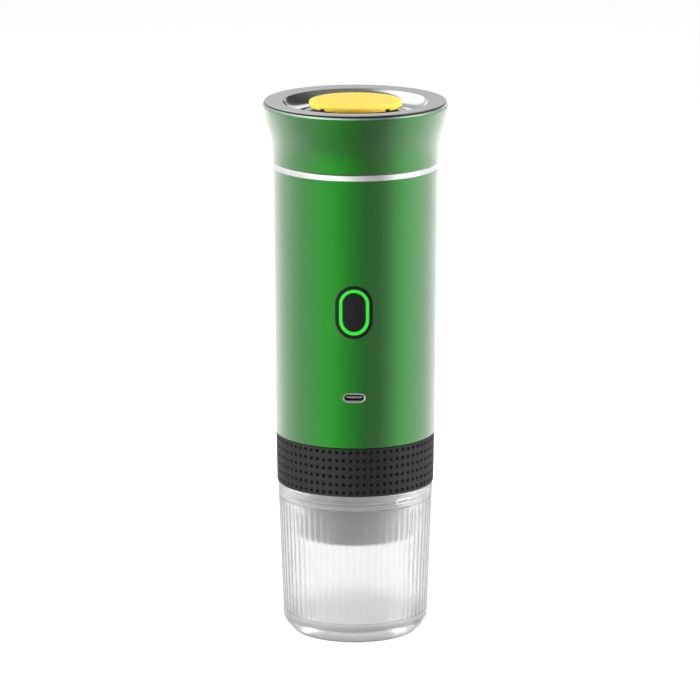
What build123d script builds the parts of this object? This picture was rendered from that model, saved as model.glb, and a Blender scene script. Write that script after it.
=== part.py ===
from build123d import *
import math
import os

# Portable espresso maker: tank, heater, battery and pump in a tapered metal tube, with a screw lid and
# vent button on top, a screw-on brew chamber below and a push-on cup under that.
# Millimetres, +Z up. The origin is the middle of the cup's foot. The button and the charging port face -Y.

# Clearances
seam_gap = 0.25
slip_gap = 0.10
running_gap = 0.05
thread_gap = 0.35

# Battery pack and pump, which together set the width of the tube
cell_diameter = 18.4
cell_length = 65.0
cell_count = 3
cell_step_degrees = 60.0
pump_diameter = 24.0
pack_gap = 0.6
pack_margin = 1.65
strap_thickness = 0.2
strap_width = 6.0
tray_floor = 3.0
tray_wall = 5.0
cell_end_gap = 0.5

# Tube and the trim ring on its top edge
tube_wall = 1.5
tube_taper = 0.85
trim_height = 2.4
trim_skirt = 5.0
trim_skirt_wall = 1.3

# Water tank, its neck and the heater under it
tank_gap = 3.3
tank_wall = 0.8
tank_floor = 1.0
tank_rise = 35.7
tank_flange_thickness = 0.8
tank_seal_thickness = 1.6
neck_height = 11.8
plate_thickness = 3.5
heater_thickness = 1.5
heater_radius = 27.0
sensor_radius = 2.2
sensor_length = 4.0

# Screw threads with round beads: the lid's on the neck, the chamber's on the brew head
bead_radius = 0.75
bead_stand = 0.05
bead_spacing = 1.5
lid_thread_starts = 3
lid_thread_lead = 12.0
lid_thread_turns = 0.45
lid_thread_foot = 3.6
chamber_thread_starts = 2
chamber_thread_lead = 8.0
chamber_thread_turns = 0.6
chamber_thread_foot = 3.4

# Lid
lid_room = 3.4
lid_flare = 4.4
lid_straight = 2.2
lid_cone_degrees = 14.7
lid_wall = 1.6
lid_edge_drop = 1.8
lid_edge_inset = 0.75
lid_seal_thickness = 1.2
lid_seal_width = 3.0
liner_deck = 3.0
liner_lift = 0.4
liner_rib_width = 1.6
rim_thickness = 0.8
rim_flat_width = 7.6
rim_dish = 0.4
rim_lip_depth = 2.0
rim_lip_width = 0.8
bowl_depth = 5.8
bowl_foot_width = 1.4

# Vent button in the lid
vent_travel = 2.5
vent_cap_radius = 19.65
vent_cap_thickness = 2.4
vent_cap_gap = 0.9
vent_notch_count = 4
vent_notch_width = 2.4
vent_notch_height = 0.9
vent_head_inset = 1.6
vent_head_thickness = 2.0
vent_head_skirt = 1.6
vent_shaft_radius = 4.0
vent_guide_wall = 1.8
vent_hole_count = 6
vent_hole_radius = 1.8
vent_hole_circle = 11.0
vent_valve_radius = 14.5
vent_valve_thickness = 2.0
vent_screw_head_radius = 6.0
vent_screw_head_height = 1.5
vent_screw_radius = 1.5
vent_screw_length = 8.0
spring_wire = 0.8
spring_radius = 9.0
spring_turns = 3.0

# Power button
button_height = 59.2
button_margin = 2.0
bezel_width = 15.8
bezel_length = 22.9
bezel_wall = 1.5
bezel_depth = 5.2
bezel_shelf = 1.2
bezel_flange = 1.4
bezel_stand = 0.15
led_ring_width = 1.4
led_ring_stand = 0.1
button_stand = 0.2
button_thickness = 3.0
button_post_radius = 1.7
switch_size = 6.0
switch_height = 3.4
plunger_radius = 1.75
plunger_stand = 1.2
plunger_depth = 1.0
switch_travel = 0.6
led_count = 2
led_size = 1.6
led_spacing = 18.0

# Charging port
port_height = 22.05
port_width = 8.94
port_tall = 3.26
port_shell_wall = 0.3
port_setback = 0.8
port_slot_gap = 0.35
port_slot_bevel = 0.15
port_tongue_width = 6.7
port_tongue_thickness = 0.7
port_tongue_setback = 0.9
port_base_depth = 4.0

# Circuit board and the inner frame that holds it
board_setback = 9.85
board_width = 36.0
board_thickness = 1.6
board_end_gap = 2.5
board_groove = 1.0
rail_wall = 1.5
rail_reach = 3.5
rail_foot_length = 7.0
rail_foot_height = 3.0
chip_height = 2.0
chip_size = 6.5
chip_spacing = 10.0
frame_screw_radius = 1.1
frame_screw_head_radius = 2.0
frame_screw_head_height = 1.5
frame_screw_length = 7.0
motor_screw_radius = 1.0
motor_screw_head_radius = 1.9
motor_screw_head_height = 1.6
motor_screw_length = 4.8
motor_screw_circle = 7.0
lead_radius = 0.7
heater_lead_spacing = 7.0
motor_lead_spacing = 13.0
lead_drop = 6.0
lead_reach = 3.0

# Pump and its motor
pump_lift = 10.5
motor_length = 36.0
motor_wall = 1.0
motor_floor = 2.0
motor_cap = 4.0
motor_magnet = 2.2
motor_air_gap = 0.5
armature_length = 20.0
magnet_gap = 4.0
shaft_radius = 1.15
bush_radius = 3.0
pump_head_gap = 2.3
pump_wall = 1.6
pump_floor = 9.0
valve_plate_thickness = 3.0
piston_count = 3
piston_radius = 2.0
piston_length = 5.6
piston_circle = 5.8
swash_radius = 8.2
swash_thickness = 2.0
swash_degrees = 6.0
swash_hub_radius = 3.0
nipple_radius = 2.1
nipple_bore = 1.2
nipple_length = 4.6
hose_wall = 0.95
hose_bend = 8.0
hose_azimuth_degrees = 215.0
tank_nipple_drop = 8.0
tank_nipple_flange = 3.2
tank_nipple_flange_thickness = 0.8

# Brew head with its shower screen
brew_flange_height = 6.0
boss_inset = 3.45
boss_length = 14.4
shower_recess = 3.5
shower_wall = 4.4
shower_thickness = 0.8
shower_set_in = 0.4
shower_hole_radius = 0.6
shower_rings = 4
shower_hub_radius = 5.0
shower_screw_radius = 1.5
shower_screw_length = 6.0
shower_screw_head_radius = 3.2
shower_screw_head_height = 1.4
water_way_radius = 1.0
water_way_circle = 9.0
water_way_count = 3

# Brew chamber
grip_height = 21.3
grip_step = 0.1
grip_taper = 0.35
grip_thickness = 1.9
chamber_seal_thickness = 1.4
chamber_seal_width = 3.0
basket_rim = 0.8
basket_wall = 0.6
basket_depth = 9.2
basket_draft = 1.2
basket_hole_radius = 0.5
basket_rings = 5
basket_gap = 0.4
drip_gap = 1.0
spigot_floor = 1.5
spigot_gap = 0.5
outlet_radius = 23.3
outlet_shoulder = 2.3
outlet_drop = 17.1
outlet_wall = 1.8
outlet_floor = 2.2
outlet_fall = 2.4
outlet_bore = 3.5
ring_wire = 0.9
ring_groove_slack = 0.2
ring_rise = 3.2

# Cup
cup_height = 66.0
cup_step = 0.35
cup_draft = 1.95
cup_rim_wall = 2.3
cup_wall = 2.5
cup_corner_height = 9.0
cup_corner_reach = 4.4
cup_foot_width = 2.6
cup_foot_recess = 5.0
cup_floor = 3.2
cup_flute_count = 64
cup_flute_depth = 0.22
cup_rim_round = 0.6
cup_mark_width = 7.4
cup_mark_tall = 2.2
cup_mark_stand = 0.3
cup_mark_drop = 3.3
cup_mark_degrees = 38.7

# Heights, from the cup upwards
grip_low = cup_height + seam_gap
grip_high = grip_low + grip_height
tube_low = grip_high + seam_gap
brew_top = tube_low + brew_flange_height
cell_low = brew_top + tray_floor + strap_thickness
cell_high = cell_low + cell_length
button_z = tube_low + button_height
port_z = tube_low + port_height
swash_tilt = math.radians(swash_degrees)
swash_reach = swash_radius * math.sin(swash_tilt) + swash_thickness / 2 / math.cos(swash_tilt)
swash_rise = pump_floor + piston_length + seam_gap + swash_reach
pump_length = swash_rise + 1.5 * swash_thickness + pump_head_gap
plate_low = max(
    cell_high + strap_thickness + cell_end_gap,
    button_z + bezel_length / 2 + bezel_flange + button_margin,
    brew_top + pump_lift + pump_length + motor_length,
)
plate_high = plate_low + plate_thickness
tank_low = plate_high + heater_thickness
tube_high = tank_low + tank_rise
trim_high = tube_high + trim_height
neck_top = trim_high + neck_height
lid_low = trim_high + seam_gap
deck_low = neck_top + lid_seal_thickness + 2 * slip_gap
deck_high = deck_low + liner_deck
bowl_foot = deck_high + lid_room + rim_thickness
lid_top = bowl_foot + bowl_depth
rim_low = lid_top - rim_thickness
pump_high = plate_low - motor_length
pump_low = pump_high - pump_length
swash_middle = pump_low + swash_rise
swash_hub_top = swash_middle + 1.5 * swash_thickness
motor_low = pump_high + motor_floor
motor_high = plate_low - motor_cap
armature_low = (motor_low + motor_high - armature_length) / 2
armature_high = armature_low + armature_length
boss_low = tube_low - boss_length
basket_top = boss_low - 2 * slip_gap - chamber_seal_thickness
ledge = basket_top - basket_rim
basket_low = ledge - basket_depth
chamber_floor = basket_low - drip_gap
spigot_low = chamber_floor - spigot_floor
outlet_low = spigot_low - outlet_drop
seal_ring_z = spigot_low + ring_rise

# Radii, from the battery pack outwards
pump_radius = pump_diameter / 2
cell_radius = cell_diameter / 2
cell_circle = pump_radius + pack_gap + cell_radius
tube_foot_inner = cell_circle + cell_radius + pack_margin
tube_foot_radius = tube_foot_inner + tube_wall
tube_head_radius = tube_foot_radius + tube_taper
tube_length = tube_high - tube_low
tank_radius = tube_head_radius - tube_wall - tank_gap
tank_bore = tank_radius - tank_wall
bead_reach = bead_radius + bead_stand
liner_bore = tank_radius + bead_reach + thread_gap
liner_radius = tube_head_radius - lid_wall - seam_gap
lid_radius = tube_head_radius + lid_flare
rim_radius = lid_radius - lid_edge_inset
bowl_radius = rim_radius - rim_flat_width
vent_head_radius = vent_cap_radius - vent_head_inset
bowl_hole = vent_cap_radius + vent_cap_gap
boss_radius = tube_foot_inner - boss_inset
chamber_bore = boss_radius + bead_reach + thread_gap
basket_rim_radius = chamber_bore - bead_reach - basket_gap
grip_top_radius = tube_foot_radius - grip_step
grip_foot_radius = grip_top_radius - grip_taper
chamber_radius = grip_foot_radius - grip_thickness
cup_rim_radius = grip_foot_radius - cup_step
cup_seat_radius = cup_rim_radius - cup_rim_wall
spigot_radius = cup_seat_radius - spigot_gap
throat_radius = outlet_radius - outlet_shoulder
cup_waist_radius = cup_rim_radius - cup_draft
cup_foot_radius = cup_waist_radius - cup_corner_reach
seal_ring_radius = cup_seat_radius - slip_gap - ring_wire
basket_radius = basket_rim_radius - chamber_seal_width
shower_radius = boss_radius - shower_wall
hose_radius = nipple_radius + running_gap + hose_wall
hose_circle = tank_bore - tank_nipple_flange - 2 * slip_gap
inlet_nipple_length = hose_circle - pump_radius - hose_bend
board_front = tube_foot_inner - board_setback
board_back = board_front - board_thickness
board_low = brew_top + rail_foot_height + board_end_gap
board_high = plate_low - board_end_gap
hose_angle = math.radians(hose_azimuth_degrees)
hose_x = hose_circle * math.cos(hose_angle)
hose_y = hose_circle * math.sin(hose_angle)


def turned(*outline):
    """A solid of revolution about Z from a closed outline of (radius, height) corners."""
    corners = [(radius, 0, height) for radius, height in outline]
    return revolve(make_face(Polyline(*corners, close=True)), Axis.Z)


def ring(inner, outer, low, high):
    """A plain ring about Z between two radii and two heights."""
    return turned((inner, low), (outer, low), (outer, high), (inner, high))


def disc(radius, low, high):
    """A plain round bar or disc about Z between two heights."""
    return turned((0, low), (radius, low), (radius, high), (0, high))


def upright(x, y, radius, low, high):
    """A round bar parallel to Z through a point of the plan."""
    return Pos(x, y, 0) * disc(radius, low, high)


def around(radius, count, start_degrees=0.0):
    """Evenly spaced plan points on a circle about Z."""
    points = []
    for index in range(count):
        angle = math.radians(start_degrees + 360.0 * index / count)
        points.append((radius * math.cos(angle), radius * math.sin(angle)))
    return points


def oblong(width, tall, centre, back, front):
    """A slot-ended prism along Y at a height, between two distances before the axis."""
    outline = SlotOverall(width, tall) if width > tall else SlotOverall(tall, width, rotation=90)
    return extrude(Plane.XZ.offset(back) * Pos(0, centre) * outline, amount=front - back)


def block(x_low, x_high, y_low, y_high, z_low, z_high):
    """A box between six planes."""
    middle = Pos((x_low + x_high) / 2, (y_low + y_high) / 2, (z_low + z_high) / 2)
    return middle * Box(x_high - x_low, y_high - y_low, z_high - z_low)


def along_y(x, z, radius, back, front):
    """A round bar along Y between two distances before the axis."""
    return extrude(Plane.XZ.offset(back) * Pos(x, z) * Circle(radius), amount=front - back)


def tube_radius(height):
    """Outer radius of the tapered tube at a height."""
    return tube_foot_radius + tube_taper * (height - tube_low) / tube_length


def trim_skirt_bore():
    """Inner radius of the trim ring's skirt, which stands inside the tube's top."""
    return tube_radius(tube_high - trim_skirt) - tube_wall - slip_gap - trim_skirt_wall


def tank_flange_radius():
    """Outer radius of the tank's flange, inside the trim ring's skirt."""
    return trim_skirt_bore() - seam_gap


def tube_envelope(stand):
    """The full tapered tube as a solid, grown outwards by a small stand."""
    return turned(
        (0, tube_low),
        (tube_foot_radius + stand, tube_low),
        (tube_head_radius + stand, tube_high),
        (0, tube_high),
    )


def helix(radius, low, lead, turns, start_degrees):
    """A helix as a chain of tangent arcs, two to each quarter turn, with its first point and direction."""
    count = math.ceil(turns * 4)
    stations = []
    for index in range(count + 1):
        turned_by = 2 * math.pi * turns * index / count
        angle = math.radians(start_degrees) + turned_by
        point = Vector(radius * math.cos(angle), radius * math.sin(angle), low + lead * turns * index / count)
        heading = Vector(-math.sin(angle), math.cos(angle), lead / (2 * math.pi * radius)).normalized()
        stations.append((point, heading))
    arcs = []
    for (start, leave), (end, arrive) in zip(stations[:-1], stations[1:]):
        span = end - start
        bend = 2 * (1 - leave.dot(arrive))
        along = span.dot(leave + arrive)
        handle = (math.sqrt(along * along + bend * span.dot(span)) - along) / bend
        middle = (start + end + (leave - arrive) * handle) / 2
        through = ((end - arrive * handle) - (start + leave * handle)).normalized()
        arcs.append(TangentArc(start, middle, tangent=leave))
        arcs.append(TangentArc(middle, end, tangent=through))
    return Wire(arcs), stations[0]


def coil(radius, low, lead, turns, wire, start_degrees=0.0):
    """Round wire wound on a helix."""
    path, (point, heading) = helix(radius, low, lead, turns, start_degrees)
    return sweep(Plane(origin=point, z_dir=heading) * Circle(wire), path=path)


def thread_beads(radius, low, lead, turns, starts):
    """The round beads of a screw thread with several starts."""
    beads = []
    for index in range(starts):
        beads.append(coil(radius, low, lead, turns, bead_radius, 360.0 * index / starts))
    return beads


def screw(head_radius, head_height, shank_radius, length):
    """A pan-head screw standing on its head at the origin, shank upwards, with a cross slot."""
    body = disc(head_radius, 0, head_height) + disc(shank_radius, head_height, head_height + length)
    slot = head_radius * 0.6
    return body - Box(2 * slot, slot / 2, head_height) - Box(slot / 2, 2 * slot, head_height)


def hole_rings(rings, reach):
    """Plan points of a drilled pattern: rings of holes, six more on each ring outwards."""
    points = []
    for index in range(1, rings + 1):
        points += around(reach * index / rings, 6 * index, 15.0 * index)
    return points


# Cup

def flute_outline(radius, height):
    """A closed zigzag of flutes about Z at a height, groove bottoms at the given radius."""
    corners = []
    for step in range(2 * cup_flute_count):
        angle = math.pi * step / cup_flute_count
        reach = radius - cup_flute_depth * (step % 2)
        corners.append((reach * math.cos(angle), reach * math.sin(angle), height))
    return make_face(Polyline(*corners, close=True))


def drink_cup():
    """Clear cup with a smooth rim band, fluted inside and standing on a foot ring."""
    waist = (cup_waist_radius, 0, cup_corner_height)
    rim = (cup_rim_radius, 0, cup_height)
    foot = (cup_foot_radius, 0, 0)
    downwards = Vector(cup_waist_radius - cup_rim_radius, 0, cup_corner_height - cup_height)
    outline = [
        Line((0, 0, cup_height), rim),
        Line(rim, waist),
        TangentArc(waist, foot, tangent=downwards),
        Line(foot, (0, 0, 0)),
        Line((0, 0, 0), (0, 0, cup_height)),
    ]
    cup = revolve(make_face(outline), Axis.Z)
    floor_top = cup_foot_recess + cup_floor
    slope = cup_draft / (cup_height - cup_corner_height)
    low_reach = cup_waist_radius - cup_wall - slope * (cup_corner_height - floor_top)
    high_reach = cup_waist_radius - cup_wall + slope * (spigot_low - cup_corner_height)
    hollow = loft([flute_outline(low_reach, floor_top), flute_outline(high_reach, spigot_low)], ruled=True)
    cup = cup - hollow - disc(cup_seat_radius, spigot_low, cup_height)
    cup = cup - disc(cup_foot_radius - cup_foot_width, 0, cup_foot_recess)
    rim_edges = cup.edges().filter_by(GeomType.CIRCLE).group_by(Axis.Z)[-1]
    cup = fillet(rim_edges, cup_rim_round)
    mark_z = cup_height - cup_mark_drop
    face = cup_rim_radius - slope * cup_mark_drop
    mark = oblong(cup_mark_width, cup_mark_tall, mark_z, face - cup_rim_wall / 2, face + cup_mark_stand)
    return cup + Rot(0, 0, cup_mark_degrees) * mark


# Brew chamber

def cup_seal_ring():
    """Rubber ring in the spigot's groove, which holds the cup on."""
    return Pos(0, 0, seal_ring_z) * Torus(seal_ring_radius, ring_wire)


def chamber_body():
    """Moulded chamber: threaded collar above, ledge for the basket, spigot for the cup below."""
    body = turned(
        (throat_radius, spigot_low),
        (spigot_radius, spigot_low),
        (spigot_radius, grip_low),
        (chamber_radius, grip_low),
        (chamber_radius, grip_high - slip_gap),
        (chamber_bore, grip_high - slip_gap),
        (chamber_bore, ledge),
        (basket_radius + basket_gap, ledge),
        (basket_radius + basket_gap, chamber_floor),
        (throat_radius, chamber_floor),
    )
    groove_inner = seal_ring_radius - ring_wire - slip_gap
    groove_half = ring_wire + ring_groove_slack
    body = body - ring(groove_inner, spigot_radius + 1, seal_ring_z - groove_half, seal_ring_z + groove_half)
    thread_low = boss_low + chamber_thread_foot + bead_spacing
    beads = thread_beads(
        chamber_bore - bead_stand,
        thread_low,
        chamber_thread_lead,
        chamber_thread_turns,
        chamber_thread_starts,
    )
    for bead in beads:
        body = body + bead
    return body


def grip_ring():
    """Rubber grip around the chamber."""
    return turned(
        (chamber_radius + running_gap, grip_low),
        (grip_foot_radius, grip_low),
        (grip_top_radius, grip_high),
        (chamber_radius + running_gap, grip_high),
    )


def coffee_basket():
    """Pressed steel filter basket with a drilled floor, hanging on its rim."""
    foot = basket_radius - basket_draft
    shell = turned(
        (0, basket_low),
        (foot, basket_low),
        (basket_radius, ledge),
        (basket_rim_radius, ledge),
        (basket_rim_radius, basket_top),
        (basket_radius - basket_wall, basket_top),
        (foot - basket_wall, basket_low + basket_wall),
        (0, basket_low + basket_wall),
    )
    holes = []
    for x, y in hole_rings(basket_rings, foot - 4 * basket_wall):
        holes.append(upright(x, y, basket_hole_radius, basket_low - 1, basket_low + 2 * basket_wall))
    return shell - holes


def outlet_spout():
    """Outlet under the chamber that gathers the coffee to one hole."""
    plug = throat_radius - slip_gap
    floor_out = outlet_low + outlet_floor + outlet_fall
    return turned(
        (outlet_bore, outlet_low),
        (outlet_radius, outlet_low),
        (outlet_radius, spigot_low),
        (plug, spigot_low),
        (plug, chamber_floor),
        (plug - outlet_wall, chamber_floor),
        (plug - outlet_wall, floor_out),
        (outlet_bore, outlet_low + outlet_floor),
    )


def chamber_seal():
    """Flat seal between the basket's rim and the brew head."""
    low = basket_top
    return ring(basket_radius, basket_rim_radius, low, low + chamber_seal_thickness)


# Brew head

def brew_head():
    """Moulded foot of the body: flange in the tube, threaded boss, shower recess and water inlet."""
    flange_radius = tube_foot_inner - slip_gap
    ceiling = boss_low + shower_recess
    hub_low = boss_low + shower_set_in + shower_thickness
    head = turned(
        (0, ceiling),
        (shower_radius, ceiling),
        (shower_radius, boss_low),
        (boss_radius, boss_low),
        (boss_radius, tube_low),
        (flange_radius, tube_low),
        (flange_radius, brew_top),
        (nipple_radius, brew_top),
        (nipple_radius, brew_top + nipple_length),
        (0, brew_top + nipple_length),
    )
    head = head + disc(shower_hub_radius, hub_low, ceiling + 1)
    beads = thread_beads(
        boss_radius + bead_stand,
        boss_low + chamber_thread_foot,
        chamber_thread_lead,
        chamber_thread_turns,
        chamber_thread_starts,
    )
    for bead in beads:
        head = head + bead
    junction = ceiling + shower_screw_length
    head = head - disc(nipple_bore, junction, brew_top + nipple_length)
    for x, y in around(water_way_circle, water_way_count):
        start = Vector(0, 0, junction)
        way = Vector(x, y, ceiling) - start
        bore = Plane(origin=start, z_dir=way) * Circle(water_way_radius)
        head = head - extrude(bore, amount=way.length + water_way_radius)
    head = head - disc(shower_screw_radius, hub_low, hub_low + shower_screw_length)
    for x, y in frame_screw_points():
        tip = brew_top + rail_foot_height - frame_screw_length
        head = head - upright(x, y, frame_screw_radius, tip - seam_gap, brew_top)
    return head


def shower_screen():
    """Drilled steel disc that spreads the water over the coffee."""
    low = boss_low + shower_set_in
    reach = shower_radius - slip_gap
    screen = ring(shower_screw_radius + slip_gap, reach, low, low + shower_thickness)
    holes = []
    for x, y in hole_rings(shower_rings, reach - 2):
        if math.hypot(x, y) > shower_hub_radius + shower_hole_radius:
            holes.append(upright(x, y, shower_hole_radius, low - 1, low + shower_thickness + 1))
    return screen - holes


def shower_screw():
    """Screw that holds the shower screen to the brew head's hub."""
    low = boss_low + shower_set_in - shower_screw_head_height
    shank = shower_screw_length + shower_thickness - 2 * slip_gap
    body = screw(
        shower_screw_head_radius, shower_screw_head_height, shower_screw_radius - running_gap, shank
    )
    return Pos(0, 0, low) * body


# Tube, trim ring, tank and heater

def body_tube():
    """Tapered metal tube with openings for the button and the charging port."""
    tube = turned(
        (tube_foot_inner, tube_low),
        (tube_foot_radius, tube_low),
        (tube_head_radius, tube_high),
        (tube_head_radius - tube_wall, tube_high),
    )
    reach = lid_radius
    gap = 2 * slip_gap
    tube = tube - oblong(bezel_width + gap, bezel_length + gap, button_z, board_front, reach)
    slot_width = port_width + 2 * port_slot_gap
    slot_tall = port_tall + 2 * port_slot_gap
    tube = tube - oblong(slot_width, slot_tall, port_z, board_front, reach)
    bevel = 2 * port_slot_bevel
    face = tube_radius(port_z) - port_slot_bevel
    return tube - oblong(slot_width + bevel, slot_tall + bevel, port_z, face, reach)


def trim_ring():
    """Bright ring on the tube's top edge, with a skirt inside the tube."""
    skirt_low = tube_high - trim_skirt
    bore = tank_radius + slip_gap
    return turned(
        (bore, tube_high),
        (trim_skirt_bore(), tube_high),
        (trim_skirt_bore(), skirt_low),
        (trim_skirt_bore() + trim_skirt_wall, skirt_low),
        (trim_skirt_bore() + trim_skirt_wall, tube_high),
        (tube_head_radius, tube_high),
        (tube_head_radius, trim_high),
        (bore, trim_high),
    )


def water_tank():
    """Drawn steel tank with a clamping flange and a beaded screw neck."""
    flange_high = tube_high - tank_seal_thickness
    flange_low = flange_high - tank_flange_thickness
    tank = turned(
        (0, tank_low),
        (tank_radius, tank_low),
        (tank_radius, flange_low),
        (tank_flange_radius(), flange_low),
        (tank_flange_radius(), flange_high),
        (tank_radius, flange_high),
        (tank_radius, neck_top),
        (tank_bore, neck_top),
        (tank_bore, tank_low + tank_floor),
        (0, tank_low + tank_floor),
    )
    beads = thread_beads(
        tank_radius + bead_stand,
        trim_high + lid_thread_foot,
        lid_thread_lead,
        lid_thread_turns,
        lid_thread_starts,
    )
    for bead in beads:
        tank = tank + bead
    return tank - upright(hose_x, hose_y, nipple_radius + slip_gap, tank_low - 1, tank_low + tank_floor + 1)


def tank_seal():
    """Flat seal between the tank's flange and the trim ring."""
    low = tube_high - tank_seal_thickness
    return ring(tank_radius + slip_gap, tank_flange_radius(), low, tube_high)


def tank_nipple():
    """Tank outlet: a flanged tube through the tank's floor."""
    floor_top = tank_low + tank_floor
    low = plate_low - tank_nipple_drop
    tube = turned(
        (nipple_bore, low),
        (nipple_radius, low),
        (nipple_radius, floor_top),
        (tank_nipple_flange, floor_top),
        (tank_nipple_flange, floor_top + tank_nipple_flange_thickness),
        (nipple_bore, floor_top + tank_nipple_flange_thickness),
    )
    return Pos(hose_x, hose_y, 0) * tube


def heater_plate():
    """Flat heating element under the tank, with holes for the outlet and the sensor."""
    plate = disc(heater_radius, plate_high, tank_low)
    plate = plate - upright(hose_x, hose_y, tank_nipple_flange, plate_high - 1, tank_low + 1)
    return plate - disc(sensor_radius + slip_gap, plate_high - 1, tank_low + 1)


def temperature_sensor():
    """Sensor bead pressed against the middle of the tank's floor."""
    return disc(sensor_radius, tank_low - sensor_length, tank_low)


# Inner frame, battery and circuit board

def cell_points():
    """Plan points of the cells, spread about the back of the tube."""
    points = []
    for index in range(cell_count):
        angle = math.radians(90.0 + cell_step_degrees * (index - (cell_count - 1) / 2))
        points.append((cell_circle * math.cos(angle), cell_circle * math.sin(angle)))
    return points


def frame_screw_points():
    """Plan points of the screws through the rails' feet."""
    reach = board_width / 2 - board_groove - rail_foot_length / 2
    depth = board_back - rail_foot_length / 2
    return [(-reach, -depth), (reach, -depth)]


def motor_screw_points():
    """Plan points of the screws that hang the motor from the frame's plate."""
    return [(-motor_screw_circle, 0), (motor_screw_circle, 0)]


def lead_points(spacing):
    """Sideways places of a pair of leads."""
    return [-spacing / 2, spacing / 2]


def inner_frame():
    """Plate under the heater with two grooved rails that hold the circuit board, on screwed feet."""
    frame = disc(tube_radius(plate_low) - tube_wall - slip_gap, plate_low, plate_high)
    rail_in = board_width / 2 - board_groove
    rail_out = rail_in + rail_reach
    front = board_front + rail_wall
    back = board_back - rail_wall
    foot_in = rail_in - rail_foot_length
    foot_back = board_back - rail_foot_length
    for side in (-1, 1):
        rail = block(min(side * rail_in, side * rail_out), max(side * rail_in, side * rail_out),
                     -front, -back, brew_top, plate_low + 1)
        foot = block(min(side * foot_in, side * rail_out), max(side * foot_in, side * rail_out),
                     -board_back, -foot_back, brew_top, brew_top + rail_foot_height)
        frame = frame + (rail + foot & disc(tube_foot_inner - slip_gap, brew_top, plate_high))
    half = board_width / 2 + slip_gap
    frame = frame - block(-half, half, -board_front - slip_gap, -board_back + slip_gap,
                          board_low - slip_gap, board_high + slip_gap)
    frame = frame - upright(hose_x, hose_y, tank_nipple_flange, plate_low - 1, plate_high + 1)
    frame = frame - disc(sensor_radius + slip_gap, tank_low - sensor_length - slip_gap, plate_high + 1)
    for x, y in frame_screw_points():
        top = brew_top + rail_foot_height + 1
        frame = frame - upright(x, y, frame_screw_radius + slip_gap, brew_top - 1, top)
    seat = plate_high - motor_screw_head_height - slip_gap
    for x, y in motor_screw_points():
        frame = frame - upright(x, y, motor_screw_radius + slip_gap, plate_low - 1, plate_high)
        frame = frame - upright(x, y, motor_screw_head_radius + slip_gap, seat, plate_high + 1)
    for x in lead_points(heater_lead_spacing):
        y = -board_back + lead_reach
        frame = frame - upright(x, y, lead_radius + slip_gap, plate_low - 1, plate_high + 1)
    return frame


def cell_tray():
    """Tray on the brew head with a pocket for the foot of each cell."""
    top = brew_top + tray_floor + tray_wall
    tray = disc(tube_foot_inner - slip_gap, brew_top, top)
    tray = tray - disc(pump_radius, brew_top - 1, top + 1)
    for x, y in cell_points():
        tray = tray - upright(x, y, cell_radius + slip_gap, brew_top + tray_floor, top + 1)
    tray = tray - strap_shape(brew_top + tray_floor, top + 1, slip_gap)
    wide = tube_foot_radius
    return tray - block(-wide, wide, -wide, -pump_radius / 4, brew_top - 1, top + 1)


def strap_shape(low, high, grow):
    """A curved strip that runs from the first cell to the last."""
    half = strap_width / 2 + grow
    band = ring(cell_circle - half, cell_circle + half, low, high)
    reach = tube_foot_radius
    spread = math.radians(cell_step_degrees * (cell_count - 1) / 2) + 0.15
    wedge = make_face(Polyline(
        (0, 0, low),
        (-2 * reach * math.tan(spread), 2 * reach, low),
        (2 * reach * math.tan(spread), 2 * reach, low),
        close=True,
    ))
    return band & extrude(wedge, amount=high - low, dir=(0, 0, 1))


def cell_straps():
    """Nickel strips across the cells' ends."""
    lower = strap_shape(cell_low - strap_thickness, cell_low, 0)
    upper = strap_shape(cell_high, cell_high + strap_thickness, 0)
    return Compound(children=[lower, upper])


def battery_cell(index):
    """One cylindrical cell, with the small step of its positive end."""
    x, y = cell_points()[index]
    crimp = cell_radius * 0.15
    cell = turned(
        (0, cell_low),
        (cell_radius, cell_low),
        (cell_radius, cell_high - crimp),
        (cell_radius - crimp, cell_high - crimp / 2),
        (cell_radius - crimp, cell_high),
        (0, cell_high),
    )
    return Pos(x, y, 0) * cell


def main_board():
    """Circuit board behind the button and the charging port."""
    half = board_width / 2
    return block(-half, half, -board_front, -board_back, board_low, board_high)


def board_chips():
    """Charger, driver and power chips on the back of the board."""
    face = -board_back
    half = chip_size / 2
    chips = []
    for side in (-1, 1):
        for level in (-1, 1):
            x = side * chip_spacing / 2
            z = (board_low + board_high) / 2 + level * chip_spacing / 2
            chips.append(block(x - half, x + half, face, face + chip_height, z - half, z + half))
    return Compound(children=chips)


def status_leds():
    """Light chips on the board behind the light ring."""
    half = led_size / 2
    chips = []
    for index in range(led_count):
        z = button_z + led_spacing * (index / (led_count - 1) - 0.5)
        chips.append(block(-half, half, -board_front - half, -board_front, z - half, z + half))
    return Compound(children=chips)


def frame_screws():
    """Screws through the frame's feet into the brew head."""
    top = brew_top + rail_foot_height + frame_screw_head_height
    body = screw(
        frame_screw_head_radius, frame_screw_head_height, frame_screw_radius - running_gap, frame_screw_length
    )
    placed = []
    for x, y in frame_screw_points():
        placed.append(Pos(x, y, top) * Rot(180, 0, 0) * body)
    return Compound(children=placed)


def motor_screws():
    """Screws through the frame's plate into the motor's end cap."""
    top = plate_high - slip_gap
    body = screw(
        motor_screw_head_radius, motor_screw_head_height, motor_screw_radius - running_gap, motor_screw_length
    )
    placed = []
    for x, y in motor_screw_points():
        placed.append(Pos(x, y, top) * Rot(180, 0, 0) * body)
    return Compound(children=placed)


def lead(*points):
    """One insulated wire along a route with a round bend."""
    path = FilletPolyline(*points, radius=2.5 * lead_radius) if len(points) > 2 else Line(*points)
    start = Vector(*points[0])
    heading = Vector(*points[1]) - start
    return sweep(Plane(origin=start, z_dir=heading) * Circle(lead_radius), path=path)


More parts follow.
